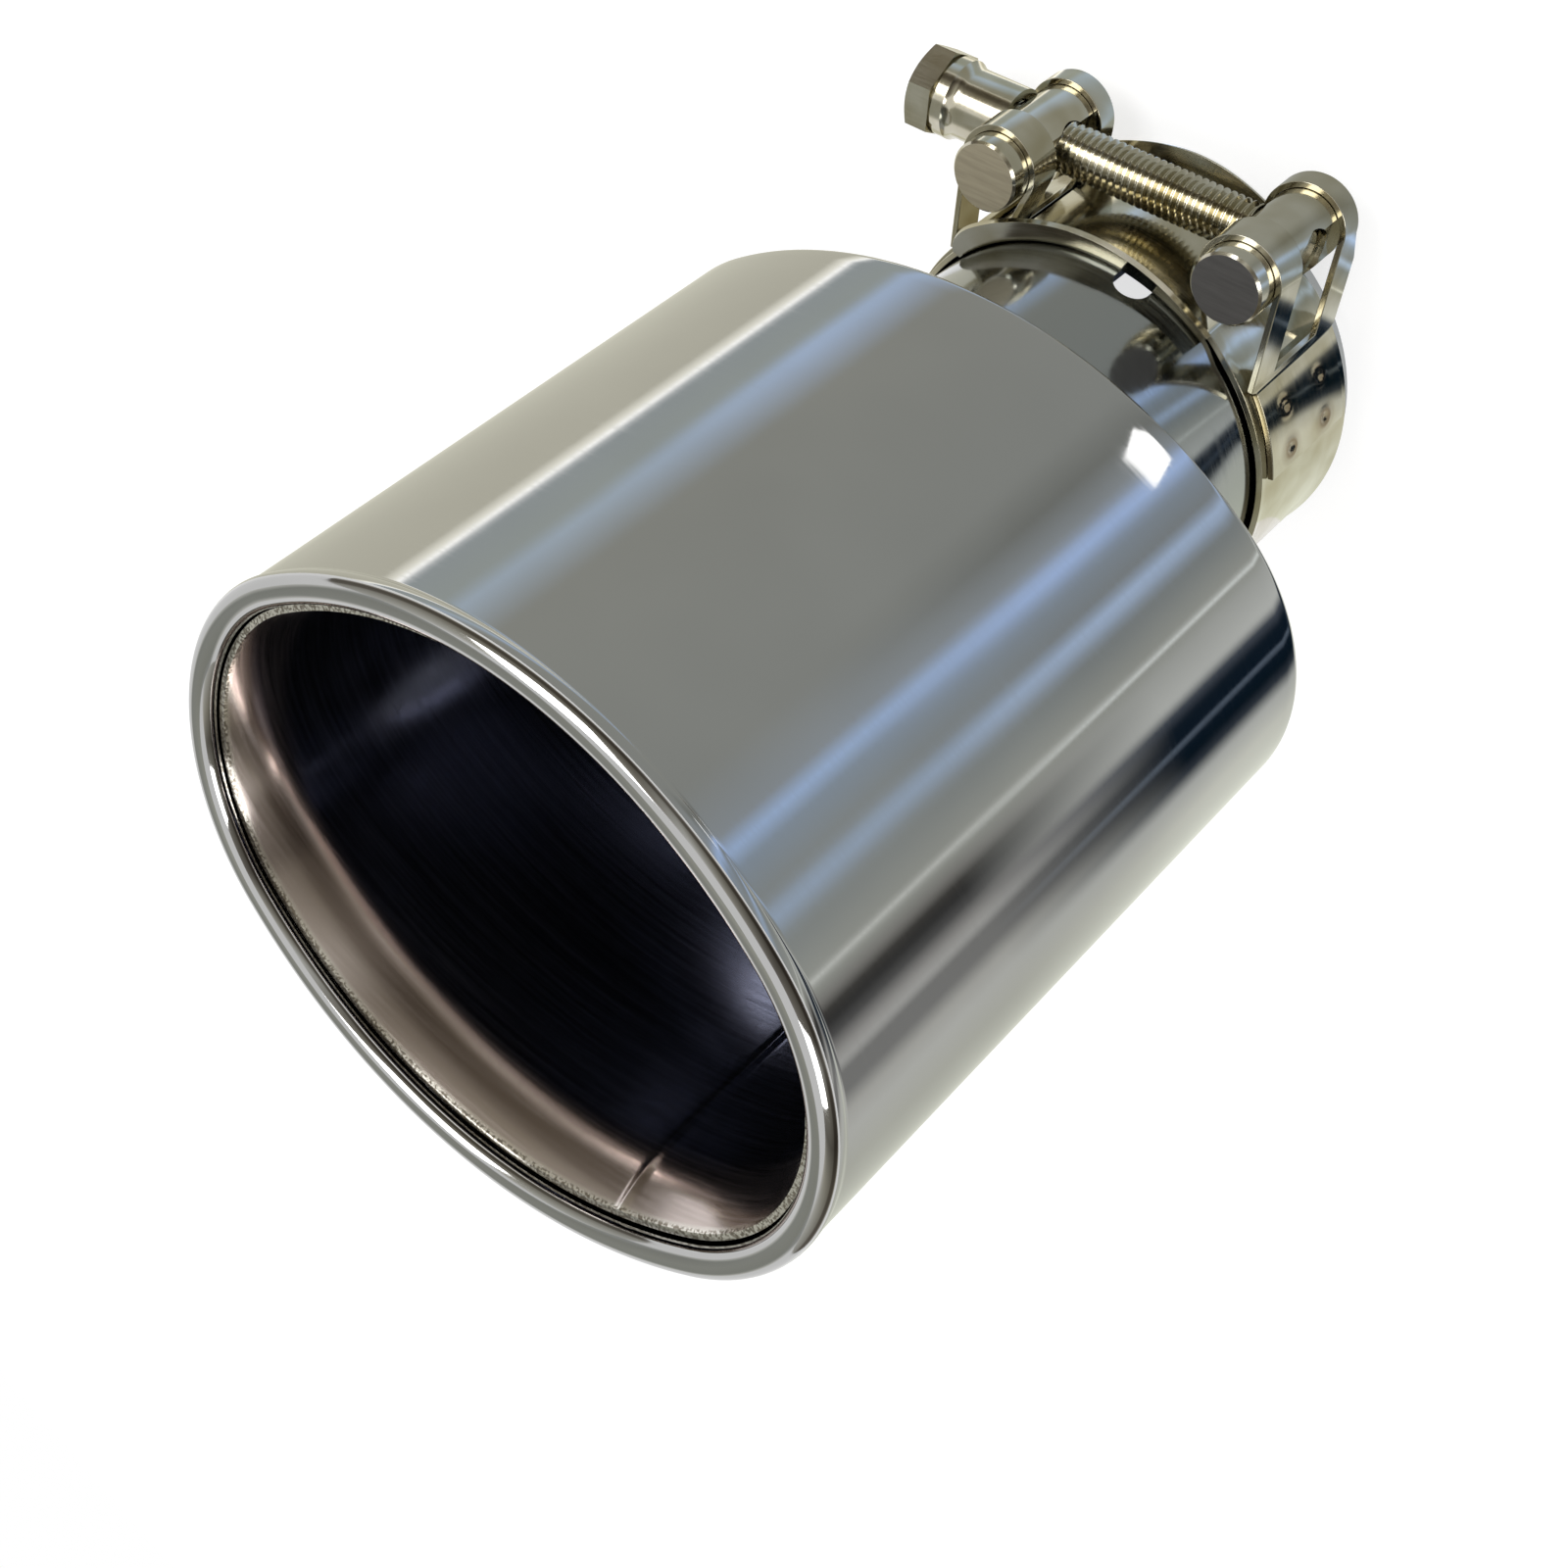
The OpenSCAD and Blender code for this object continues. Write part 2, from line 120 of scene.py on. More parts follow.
class ClampShape(bpy.types.PropertyGroup):
    """Sizes of the band, the bridge plate and the bolt"""
    strip_t: length("Strip thickness", "Thickness of the band's strip", 1 * MM)
    edge_flare: length("Edge flare", "How far the band's long edges flare out", 0.4 * MM)
    edge_w: length("Edge width", "Width of each flared edge", 2.2 * MM)
    loop_w: length("Loop width", "Width of the loops that hold the trunnions", 24 * MM)
    window_w: length("Window width", "Width of the window in each loop", 12 * MM)
    window_foot: length("Window foot", "Height of the window above the strip's bend", 1 * MM)
    loop_trim: length("Loop trim", "How much narrower a loop's rear side is at its top", 2.2 * MM)
    rear_trim: length("Rear trim", "How much shorter the trunnions are at the rear", 5.6 * MM)
    tail_w: length("Tail width", "Width of the welded tails", 21 * MM)
    leave_at: angle("Leave angle", "Where the strip leaves the neck", 56)
    tail_end: angle("Tail end", "Where each welded tail ends", 13)
    bend_r: length("Bend radius", "Inside radius of the strip's bends", 1.5 * MM)
    spot_d: length("Spot diameter", "Diameter of the spot welds", 2.6 * MM)
    spot_depth: length("Spot depth", "Depth of the spot welds", 0.35 * MM)
    spot_pitch: length("Spot pitch", "Spacing of the spot welds along the tip", 10 * MM)
    spot_near: angle("Near spots", "Angle of the spot welds near the loop", 29.2)
    spot_far: angle("Far spots", "Angle of the spot welds near the tail's end", 17.6)
    bridge_t: length("Bridge thickness", "Thickness of the bridge plate", 0.9 * MM)
    bridge_half: angle("Bridge half", "Half the angle that its base covers", 29)
    flange_from: angle("Flange start", "Where its flared edges start", 56)
    flange_to: angle("Flange end", "Where its flared edges end", 138)
    bolt_d: length("Bolt diameter", "Thread diameter of the bolt", 8 * MM)
    pitch: length("Thread pitch", "Pitch of the bolt's thread", 1.25 * MM)
    thread_depth: length("Thread depth", "Depth of the bolt's thread", 0.7 * MM)
    head_h: length("Head height", "Thickness of the bolt's head", 5.3 * MM)
    head_af: length("Head width", "Width of the head across its flats", 13 * MM)


class Finishes(bpy.types.PropertyGroup):
    """Colours of the finishes"""
    chrome: colour("Black chrome", "Smoky plated mirror of the shell", "#b9b9b8")
    chrome_neck: colour("Neck chrome", "Smoky plated mirror of the neck", "#a3a6a6")
    # The liner's two tones stand partly for light: the wall's darker tone deep inside is painted
    # shade, and the flared band's warm, brighter tone is partly the plating and partly a painted
    # reflection of the room
    liner_wall_shade: colour("Liner wall", "Plated steel deep in the liner", "#8b8d98")
    liner_flare_and_reflection: colour("Liner flare", "Warm plated steel of the flared band", "#cdc1bc")
    steel: colour("Stainless steel", "Bright rolled stainless steel", "#c9c5b6")
    steel_warm: colour("Warm steel", "Warmer tone of the drawn and turned steel", "#aaa287")
    heat_tint: colour("Heat tint", "Brown ring round each spot weld", "#7d6a52")
    dark_end: colour("Dark end", "End face of the threaded trunnion", "#5c5a58")
    pale_end: colour("Pale end", "End face of the plain trunnion", "#a59c85")


# Geometry helpers

def at(angle_, radius=1.0):
    """A point of the XY plane at an angle and a radius."""
    return Vector((radius * math.cos(angle_), radius * math.sin(angle_)))


def mix(a, b, share):
    """The value that lies a share of the way from a to b."""
    return a + (b - a) * share


def smooth(share):
    """A share from 0 to 1 that starts and ends level."""
    share = min(1, max(0, share))
    return share * share * (3 - 2 * share)


def steps(count, first=0):
    """Shares from 0 to 1 in a number of steps, from a first step on."""
    return [i / count for i in range(first, count + 1)]


def oval_point(half_w, half_h, end_r, normal, inset):
    """A point of the four-arc oval, moved in, where its outward normal has that angle."""
    side_r = ((half_w - end_r) ** 2 + half_h ** 2 - end_r ** 2) / (2 * (half_h - end_r))
    end_half = math.atan2(side_r - half_h, half_w - end_r)
    c, s = math.cos(normal), math.sin(normal)
    if abs(c) > math.cos(end_half):
        return Vector((math.copysign(half_w - end_r, c), 0)) + (end_r - inset) * Vector((c, s))
    return Vector((0, -math.copysign(side_r - half_h, s))) + (side_r - inset) * Vector((c, s))


class Oval:
    """The oval outlet: rings of points at the same wall directions all the way up."""

    def __init__(self, shape, directions):
        self.shape = shape
        self.directions = directions
        self.half_w = (SHELL_HIGH.x - SHELL_LOW.x) / 2 - shape.lip_proud
        self.half_h = OUTLET_H / 2
        self.rear_z = SHELL_LOW.z
        self.mouth_z = self.rear_z + shape.tip_len

    def point(self, normal, inset, grow=0.0):
        """A point of the oval, moved in and grown, where the wall faces that way."""
        return oval_point(self.half_w + grow, self.half_h + grow, self.shape.end_r + grow,
                          normal, inset)

    def flat(self, oval_share, circle_r, inset, z):
        """A level ring between a circle and the oval."""
        ring = []
        for n in self.directions:
            q = (1 - oval_share) * at(n, circle_r) + oval_share * self.point(n, inset)
            ring.append(Vector((q.x, q.y, z)))
        return ring

    def slanted(self, inset, depth):
        """A ring on the oval that follows the mouth at a depth below it."""
        slope = math.tan(self.shape.slant)
        return [Vector((p.x, p.y, p.z - slope * p.y))
                for p in self.flat(1, 0, inset, self.mouth_z - depth)]

    def lip(self, radius, turn):
        """A ring of the rolled lip, turned about the lip's own circle."""
        slant, ring = self.shape.slant, []
        for n in self.directions:
            c = self.point(n, self.shape.lip_r, self.shape.lip_proud)
            out = Vector((math.cos(n), math.sin(n) * math.cos(slant),
                          -math.sin(n) * math.sin(slant))).normalized()
            up = Vector((0, math.sin(slant), math.cos(slant)))
            middle = Vector((c.x, c.y, self.mouth_z - math.tan(slant) * c.y))
            ring.append(middle + radius * (math.cos(turn) * out + math.sin(turn) * up))
        return ring


# Height of the oval outlet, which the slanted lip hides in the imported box
OUTLET_H = 90 * MM
# Thickness of the threaded trunnion and where the clamp's axes lie
TRUNNION_R = (TRUNNION_HIGH.x - TRUNNION_LOW.x) / 2
TRUNNION_X = (TRUNNION_HIGH.x + TRUNNION_LOW.x) / 2
BOLT_Y = (TRUNNION_HIGH.y + TRUNNION_LOW.y) / 2
MID_Z = (BAND_LOW.z + BAND_HIGH.z) / 2
BAND_W = BAND_HIGH.z - BAND_LOW.z
NECK_R = NECK_HIGH.x


def sheet_faces(rings, closed):
    """Quads between neighbouring rings of equal length; a closed sheet joins its ends."""
    count, size = len(rings), len(rings[0])
    return [(k * size + i, k * size + (i + 1) % size,
             (k + 1) % count * size + (i + 1) % size, (k + 1) % count * size + i)
            for k in range(count if closed else count - 1) for i in range(size)]


def grid_faces(rows, columns, keep):
    """Quads of an open grid of points in rows, where keep(row, column) says which stay."""
    return [(r * columns + c, r * columns + c + 1, (r + 1) * columns + c + 1, (r + 1) * columns + c)
            for r in range(rows - 1) for c in range(columns - 1) if keep(r, c)]


def add_piece(name, points, faces, material, body, slot, nodes, sharp=40.0, flip=False):
    """A mesh piece that rides on a body, takes a material and stands for CAD nodes, which it hides;
    its slot is not used.
    """
    mesh = bpy.data.meshes.new(name)
    mesh.from_pydata([tuple(p) for p in points], [], [f[::-1] for f in faces] if flip else faces)
    mesh.validate()
    mesh.update()
    mesh.shade_smooth()
    mesh.set_sharp_from_angle(angle=math.radians(sharp))
    piece = bpy.data.objects.new(name, mesh)
    bpy.context.scene.collection.objects.link(piece)
    mesh.materials.append(material)
    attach(piece, body)
    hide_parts(*nodes)
    return piece


def drop_loose(points, faces):
    """The points that faces use, and the faces with their new numbers."""
    used = sorted({i for f in faces for i in f})
    number = {old: new for new, old in enumerate(used)}
    return [points[i] for i in used], [tuple(number[i] for i in f) for f in faces]


def thicken(piece, thickness, offset, edge):
    """Gives a sheet its thickness, with slightly rounded edges."""
    solid = piece.modifiers.new("Thickness", "SOLIDIFY")
    solid.thickness = thickness
    solid.offset = offset
    solid.use_even_offset = True
    bevel = piece.modifiers.new("Rounded edges", "BEVEL")
    bevel.width = edge
    bevel.segments = 2
    bevel.limit_method = "ANGLE"
    bevel.angle_limit = math.radians(50)
    bevel.harden_normals = True


# Material helpers

def add_node(tree, kind, links=(), stops=(), **settings):
    """Adds a shader node. Links are pairs of an input and the socket or the value it takes,
    stops are a colour ramp's places and linear colours, and settings are the node's
    properties or, where no property has that name, the values of its inputs."""
    node = tree.nodes.new(kind)
    for key, value in settings.items():
        if hasattr(node, key):
            setattr(node, key, value)
        else:
            node.inputs[key].default_value = value
    for target, source in links:
        if isinstance(source, bpy.types.NodeSocket):
            tree.links.new(source, node.inputs[target])
        else:
            node.inputs[target].default_value = source
    if stops:
        elements = node.color_ramp.elements
        elements.remove(elements[-1])
        elements[0].position, elements[0].color = stops[0][0], (*stops[0][1], 1)
        for place, value in stops[1:]:
            elements.new(place).color = (*value, 1)
    return node


def new_material(name):
    """An empty node material with its output node."""
    material = bpy.data.materials.new(name)
    material.use_nodes = True
    material.node_tree.nodes.clear()
    return material, material.node_tree


def grey(value):
    """A neutral tone of a linear value."""
    return (value, value, value)


def pattern(tree, scale_mm, detail=3.0, stretch=(1, 1, 1)):
    """Uneven marks about scale_mm across, drawn out by stretch, that lie on the object."""
    where = add_node(tree, "ShaderNodeTexCoord").outputs["Object"]
    mapping = add_node(tree, "ShaderNodeMapping", [("Vector", where)],
                       Scale=tuple(1 / (scale_mm * MM * s) for s in stretch))
    return add_node(tree, "ShaderNodeTexNoise", [("Vector", mapping.outputs["Vector"])],
                    Scale=1.0, Detail=detail).outputs["Fac"]


def finish_metal(tree, colour_out, roughness_out, bump_out, bump_mm, bump_strength,
                 anisotropy=0.0):
    """A metal surface from a colour, a roughness and a height."""
    bump = add_node(tree, "ShaderNodeBump", [("Height", bump_out)],
                    Distance=bump_mm * MM, Strength=bump_strength)
    surface = add_node(tree, "ShaderNodeBsdfPrincipled",
                       [("Base Color", colour_out), ("Roughness", roughness_out),
                        ("Normal", bump.outputs["Normal"])], Metallic=1.0)
    if anisotropy:
        tangent = add_node(tree, "ShaderNodeTangent", direction_type="RADIAL", axis="Z")
        tree.links.new(tangent.outputs["Tangent"], surface.inputs["Tangent"])
        surface.inputs["Anisotropic"].default_value = anisotropy
    add_node(tree, "ShaderNodeOutputMaterial", [("Surface", surface.outputs["BSDF"])])


def black_chrome(name, base, rough_low=0.035, rough_high=0.085):
    """Stainless steel with a smoky vapour-deposited chrome, mirror polished: sharp
    reflections, drawn out along the tip by fine polishing lines that run round it."""
    material, tree = new_material(name)
    # Polishing lines 0.45 mm apart along the tip and some centimetres long
    lines = pattern(tree, 0.45, 2.0, (60, 60, 1))
    # Cloudy differences of the plating, 30 mm across
    clouds = pattern(tree, 30, 2.0)
    dark = tuple(0.93 * c for c in base)
    tone = add_node(tree, "ShaderNodeValToRGB", [("Fac", clouds)],
                    [(0.3, dark), (0.7, tuple(base))]).outputs["Color"]
    rough = add_node(tree, "ShaderNodeValToRGB", [("Fac", lines)],
                     [(0.3, grey(rough_low)), (0.75, grey(rough_high))]).outputs["Color"]
    finish_metal(tree, tone, rough, lines, 0.01, 0.04, 0.5)
    return material


def plated_liner(shape, finishes, oval):
    """Formed liner with the same plating, left satin by the forming: dark deep inside as painted
    shade, warm and brighter in the flared band, partly the plating and partly a painted reflection
    of the room, with a painted highlight in specks along the band's edge."""
    material, tree = new_material("plated_formed_liner")
    where = add_node(tree, "ShaderNodeTexCoord").outputs["Object"]
    parts = add_node(tree, "ShaderNodeSeparateXYZ", [("Vector", where)])
    slope = add_node(tree, "ShaderNodeMath",
                     [(0, parts.outputs["Y"]), (1, math.tan(shape.slant))], operation="MULTIPLY")
    level = add_node(tree, "ShaderNodeMath", [(0, parts.outputs["Z"]), (1, slope.outputs[0])],
                     operation="ADD")
    # The colour changes over the last 16 mm below the mouth, from the painted shade deep inside to
    # the flared band's tone with its painted reflection
    span = 16 * MM
    depth = add_node(tree, "ShaderNodeMapRange",
                     [("Value", level.outputs[0]), ("From Min", oval.mouth_z - span),
                      ("From Max", oval.mouth_z)])
    flare_foot = 1 - shape.flare_depth / span
    # The last stop, #e8e4dc, is a pale painted highlight along the flared band's edge
    tone = add_node(tree, "ShaderNodeValToRGB", [("Fac", depth.outputs["Result"])],
                    [(0.0, tuple(finishes.liner_wall_shade)),
                     (flare_foot - 0.05, tuple(finishes.liner_wall_shade)),
                     (flare_foot + 0.12, tuple(finishes.liner_flare_and_reflection)),
                     (0.9, tuple(finishes.liner_flare_and_reflection)),
                     (0.945, linear("#e8e4dc"))]).outputs["Color"]
    lines = pattern(tree, 0.6, 3.0, (40, 40, 1))
    # Specks 0.5 mm across in the painted highlight along the flared band's raw edge
    specks = pattern(tree, 0.5, 2.0)
    highlight_specks = add_node(tree, "ShaderNodeValToRGB", [("Fac", specks)],
                    [(0.42, linear("#a8a29b")), (0.56, grey(1.0))]).outputs["Color"]
    # Mask of the painted highlight along the band's edge, where the specks darken it in places
    edge = add_node(tree, "ShaderNodeValToRGB", [("Fac", depth.outputs["Result"])],
                    [(0.925, grey(0.0)), (0.945, grey(1.0))]).outputs["Color"]
    tone_with_highlight = add_node(tree, "ShaderNodeMix", [(0, edge), (6, tone), (7, highlight_specks)],
                        data_type="RGBA", blend_type="MULTIPLY")
    rough = add_node(tree, "ShaderNodeValToRGB", [("Fac", lines)],
                     [(0.3, grey(0.13)), (0.75, grey(0.24))]).outputs["Color"]
    finish_metal(tree, tone_with_highlight.outputs[2], rough, lines, 0.01, 0.08, 0.5)
    return material


def bright_steel(name, base, warm, rough_low=0.09, rough_high=0.2, grain=(30, 30, 1)):
    """Bright rolled or turned stainless steel: clear but slightly soft reflections, a
    warm cast in places and a fine grain along the working direction."""
    material, tree = new_material(name)
    # Grain 0.3 mm apart, drawn out along the working direction
    lines = pattern(tree, 0.3, 2.0, grain)
    # Warm and cold patches, 9 mm across
    patches = pattern(tree, 9, 2.0)
    tone = add_node(tree, "ShaderNodeValToRGB", [("Fac", patches)],
                    [(0.35, tuple(base)), (0.7, tuple(warm))]).outputs["Color"]
    rough = add_node(tree, "ShaderNodeValToRGB", [("Fac", lines)],
                     [(0.3, grey(rough_low)), (0.75, grey(rough_high))]).outputs["Color"]
    finish_metal(tree, tone, rough, lines, 0.01, 0.12)
    return material


# How far the heat tint reaches from the middle of a spot weld
TINT_R = 3.2 * MM


def welded_steel(clamp, finishes):
    """The band's rolled steel with a brown heat tint round each spot weld."""
    material = bright_steel("rolled_stainless_band", finishes.steel, finishes.steel_warm)
    tree = material.node_tree
    surface = next(n for n in tree.nodes if n.type == "BSDF_PRINCIPLED")
    plain = surface.inputs["Base Color"].links[0].from_socket
    where = add_node(tree, "ShaderNodeTexCoord").outputs["Object"]
    centred = add_node(tree, "ShaderNodeVectorMath", [(0, where), (1, (0, 0, MID_Z))],
                       operation="SUBTRACT")
    # Both sides and both rows have their spots at the same distances from the middle
    folded = add_node(tree, "ShaderNodeVectorMath", [(0, centred.outputs[0])],
                      operation="ABSOLUTE")
    radius = tail_radius(clamp) + clamp.strip_t / 2
    masks = []
    for turn in (clamp.spot_near, clamp.spot_far):
        spot = at(turn, radius)
        place = (spot.x, spot.y, clamp.spot_pitch / 2)
        gap = add_node(tree, "ShaderNodeVectorMath", [(0, folded.outputs[0]), (1, place)],
                       operation="DISTANCE")
        near = add_node(tree, "ShaderNodeMapRange",
                        [("Value", gap.outputs["Value"]), ("From Min", 0),
                         ("From Max", TINT_R)])
        masks.append(near.outputs["Result"])
    lowest = add_node(tree, "ShaderNodeMath", [(0, masks[0]), (1, masks[1])],
                      operation="MINIMUM")
    tint = add_node(tree, "ShaderNodeValToRGB", [("Fac", lowest.outputs[0])],
                    [(0.0, grey(0.35)), (0.3, grey(0.75)), (0.42, grey(0.9)), (0.6, grey(0.35)),
                     (1.0, grey(0.0))]).outputs["Color"]
    blend = add_node(tree, "ShaderNodeMix",
                     [(0, tint), (6, plain), (7, (*finishes.heat_tint, 1))], data_type="RGBA")
    tree.links.new(blend.outputs[2], surface.inputs["Base Color"])
    return material


def turned_trunnion(name, finishes, end_colour):
    """Turned stainless bar whose sawn end facing the outlet has its own tone."""
    material = bright_steel(name, finishes.steel, finishes.steel_warm, 0.1, 0.2, (1, 1, 30))
    tree = material.node_tree
    surface = next(n for n in tree.nodes if n.type == "BSDF_PRINCIPLED")
    plain = surface.inputs["Base Color"].links[0].from_socket
    where = add_node(tree, "ShaderNodeTexCoord").outputs["Object"]
    parts = add_node(tree, "ShaderNodeSeparateXYZ", [("Vector", where)])
    end_z = TRUNNION_HIGH.z - 0.02 * MM
    high = add_node(tree, "ShaderNodeMath", [(0, parts.outputs["Z"]), (1, end_z)],
                    operation="GREATER_THAN")
    # Sawn and dull, so that it shows its own tone rather than what faces it
    dull = add_node(tree, "ShaderNodeValToRGB", [("Fac", high.outputs[0])],
                    [(0.0, grey(1.0)), (1.0, grey(0.35))]).outputs["Color"]
    rough = add_node(tree, "ShaderNodeValToRGB", [("Fac", high.outputs[0])],
                     [(0.0, grey(0.14)), (1.0, grey(0.42))]).outputs["Color"]
    tree.links.new(dull, surface.inputs["Metallic"])
    tree.links.new(rough, surface.inputs["Roughness"])
    scratches = pattern(tree, 0.5, 3.0, (14, 1, 1))
    end_tone = add_node(tree, "ShaderNodeValToRGB", [("Fac", scratches)],
                        [(0.35, tuple(0.8 * c for c in end_colour)),
                         (0.7, tuple(end_colour))]).outputs["Color"]
    blend = add_node(tree, "ShaderNodeMix", [(0, high.outputs[0]), (6, plain), (7, end_tone)],
                     data_type="RGBA")
    tree.links.new(blend.outputs[2], surface.inputs["Base Color"])
    return material


# The tip

def shell_face(oval, inset):
    """One face of the shell: rear face, rounded edge, wall and rolled lip."""
    shape, rings = oval.shape, []
    hole = NECK_R + shape.clearance
    for share in steps(3):
        rings.append(oval.flat(smooth(share), hole, shape.rear_r, oval.rear_z + inset))
    rear = shape.rear_r - inset
    for share in steps(8, 1):
        turn = math.radians(90 * share - 90)
        rings.append(oval.flat(1, 0, shape.rear_r - rear * math.cos(turn),
                               oval.rear_z + shape.rear_r + rear * math.sin(turn)))
    # The bead starts where its circle leaves the wall
    start = 0 if inset else -math.acos(1 - shape.lip_proud / shape.lip_r)
    foot = oval.lip(shape.lip_r - inset, start)
    top = rings[-1]
    for share in (0.02, 0.2, 0.4, 0.6, 0.8, 0.98, 0.996):
        rings.append([a.lerp(b, share) for a, b in zip(top, foot)])
    for share in steps(30):
        rings.append(oval.lip(shape.lip_r - inset,
                              mix(start, math.pi / 2 + shape.lip_roll, share)))
    return rings


def liner_face(oval, inset, seam):
    """One face of the liner: collar, stretch from round to oval, wall and flared band."""
    shape, rings = oval.shape, []
    collar = NECK_R + shape.clearance + shape.liner_t - inset
    rings.append(oval.flat(0, collar, 0, oval.rear_z + shape.shell_t + 0.3 * MM))
    cone_z = oval.rear_z + shape.neck_in - 1 * MM
    for share in steps(28):
        rings.append(oval.flat(smooth(share), collar, shape.liner_inset + inset,
                               cone_z + share * shape.cone_len))
    edge = 2 * shape.lip_r - shape.lip_proud + 0.3 * MM
    low = rings[-1]
    flare = [oval.slanted(mix(shape.liner_inset, edge, share ** 2) + inset,
                          shape.rim_depth + shape.flare_depth * (1 - share)) for share in steps(18)]
    for share in (0.03, 0.25, 0.5, 0.75, 0.97):
        rings.append([a.lerp(b, share) for a, b in zip(low, flare[0])])
    rings += flare
    if seam:
        for k, ring in enumerate(rings[2:], 2):
            for p, n in zip(ring, oval.directions):
                off = (n - shape.seam_at) * 62 * MM / shape.seam_w
                p.xy = Vector(p.xy) - at(n, shape.seam_h * math.exp(-off * off))
    return rings


class TIP_OT_shell(bpy.types.Operator):
    """Builds the oval outer shell with its rolled lip"""
    bl_idname = "tip.shell"
    bl_label = "Outer shell"

    def execute(self, context):
        shape, finishes = context.scene.tip_shape, context.scene.tip_finishes
        oval = Oval(shape, [math.radians(d) for d in range(0, 360)])
        rings = shell_face(oval, 0) + shell_face(oval, shape.shell_t)[::-1]
        add_piece("oval_shell", [p for ring in rings for p in ring], sheet_faces(rings, True),
                  black_chrome("black_chrome_shell", finishes.chrome), "tip", "shell",
                  ["tip_shell"])
        return {"FINISHED"}


class TIP_OT_liner(bpy.types.Operator):
    """Builds the inner liner with its flared band and weld seam"""
    bl_idname = "tip.liner"
    bl_label = "Inner liner"

    def execute(self, context):
        shape, finishes = context.scene.tip_shape, context.scene.tip_finishes
        seam = math.degrees(shape.seam_at) % 360
        fine = [seam + 0.12 * i for i in range(-22, 23)]
        plain = [1.5 * i for i in range(240) if abs(1.5 * i - seam) > 2.8]
        oval = Oval(shape, [math.radians(d if d < 180 else d - 360) for d in sorted(plain + fine)])
        rings = liner_face(oval, 0, False) + liner_face(oval, shape.liner_t, True)[::-1]
        add_piece("inner_liner_flared", [p for ring in rings for p in ring],
                  sheet_faces(rings, True), plated_liner(shape, finishes, oval), "tip", "liner",
                  ["inner_liner"])
        return {"FINISHED"}


class TIP_OT_neck(bpy.types.Operator):
    """Builds the slotted inlet neck"""
    bl_idname = "tip.neck"
    bl_label = "Inlet neck"

    def execute(self, context):
        shape, finishes = context.scene.tip_shape, context.scene.tip_finishes
        half = shape.slot_w / 2
        columns = []
        for slot in range(4):
            middle = shape.slot_at + slot * math.pi / 2
            reach = half / NECK_R
            for share in steps(16):
                across = -math.cos(share * math.pi) * half
                arch = shape.slot_len - half + math.sqrt(max(0, half * half - across * across))
                columns.append((middle + across / NECK_R, arch, True))
            for share in steps(34, 1)[:-1]:
                columns.append((middle + reach + share * (math.pi / 2 - 2 * reach),
                                shape.slot_len - half, False))
        columns.append((columns[0][0] + 2 * math.pi, *columns[0][1:]))
        top, foot = NECK_HIGH.z, NECK_LOW.z
        shares = [0, 0.04, 0.12, 0.3, 0.5, 0.75, 1]
        points, faces = [], []
        for turn, start, _ in columns:
            for z in [mix(foot, shape.slot_len - half, s) for s in (0, 0.5)] + \
                    [mix(start, top, s) for s in shares]:
                points.append((*at(turn, NECK_R), z))
        rows = 2 + len(shares)
        for c in range(len(columns) - 1):
            in_slot = columns[c][2] and columns[c + 1][2]
            for r in range(2 if in_slot else 0, rows - 1):
                faces.append((c * rows + r, (c + 1) * rows + r,
                              (c + 1) * rows + r + 1, c * rows + r + 1))
        points, faces = drop_loose(points, faces)
        piece = add_piece("slotted_neck", points, faces,
                          black_chrome("black_chrome_neck", finishes.chrome_neck, 0.09, 0.16),
                          "tip", "neck", ["inlet_neck"])
        merge = piece.modifiers.new("Join the seam", "WELD")
        merge.merge_threshold = 0.001 * MM
        thicken(piece, shape.neck_t, -1, 0.15 * MM)
        return {"FINISHED"}


# The clamp

def tail_radius(clamp):
    """Radius of the middle of the welded tails."""
    return NECK_R + bpy.context.scene.tip_shape.clearance + 1.5 * clamp.strip_t + 0.05 * MM


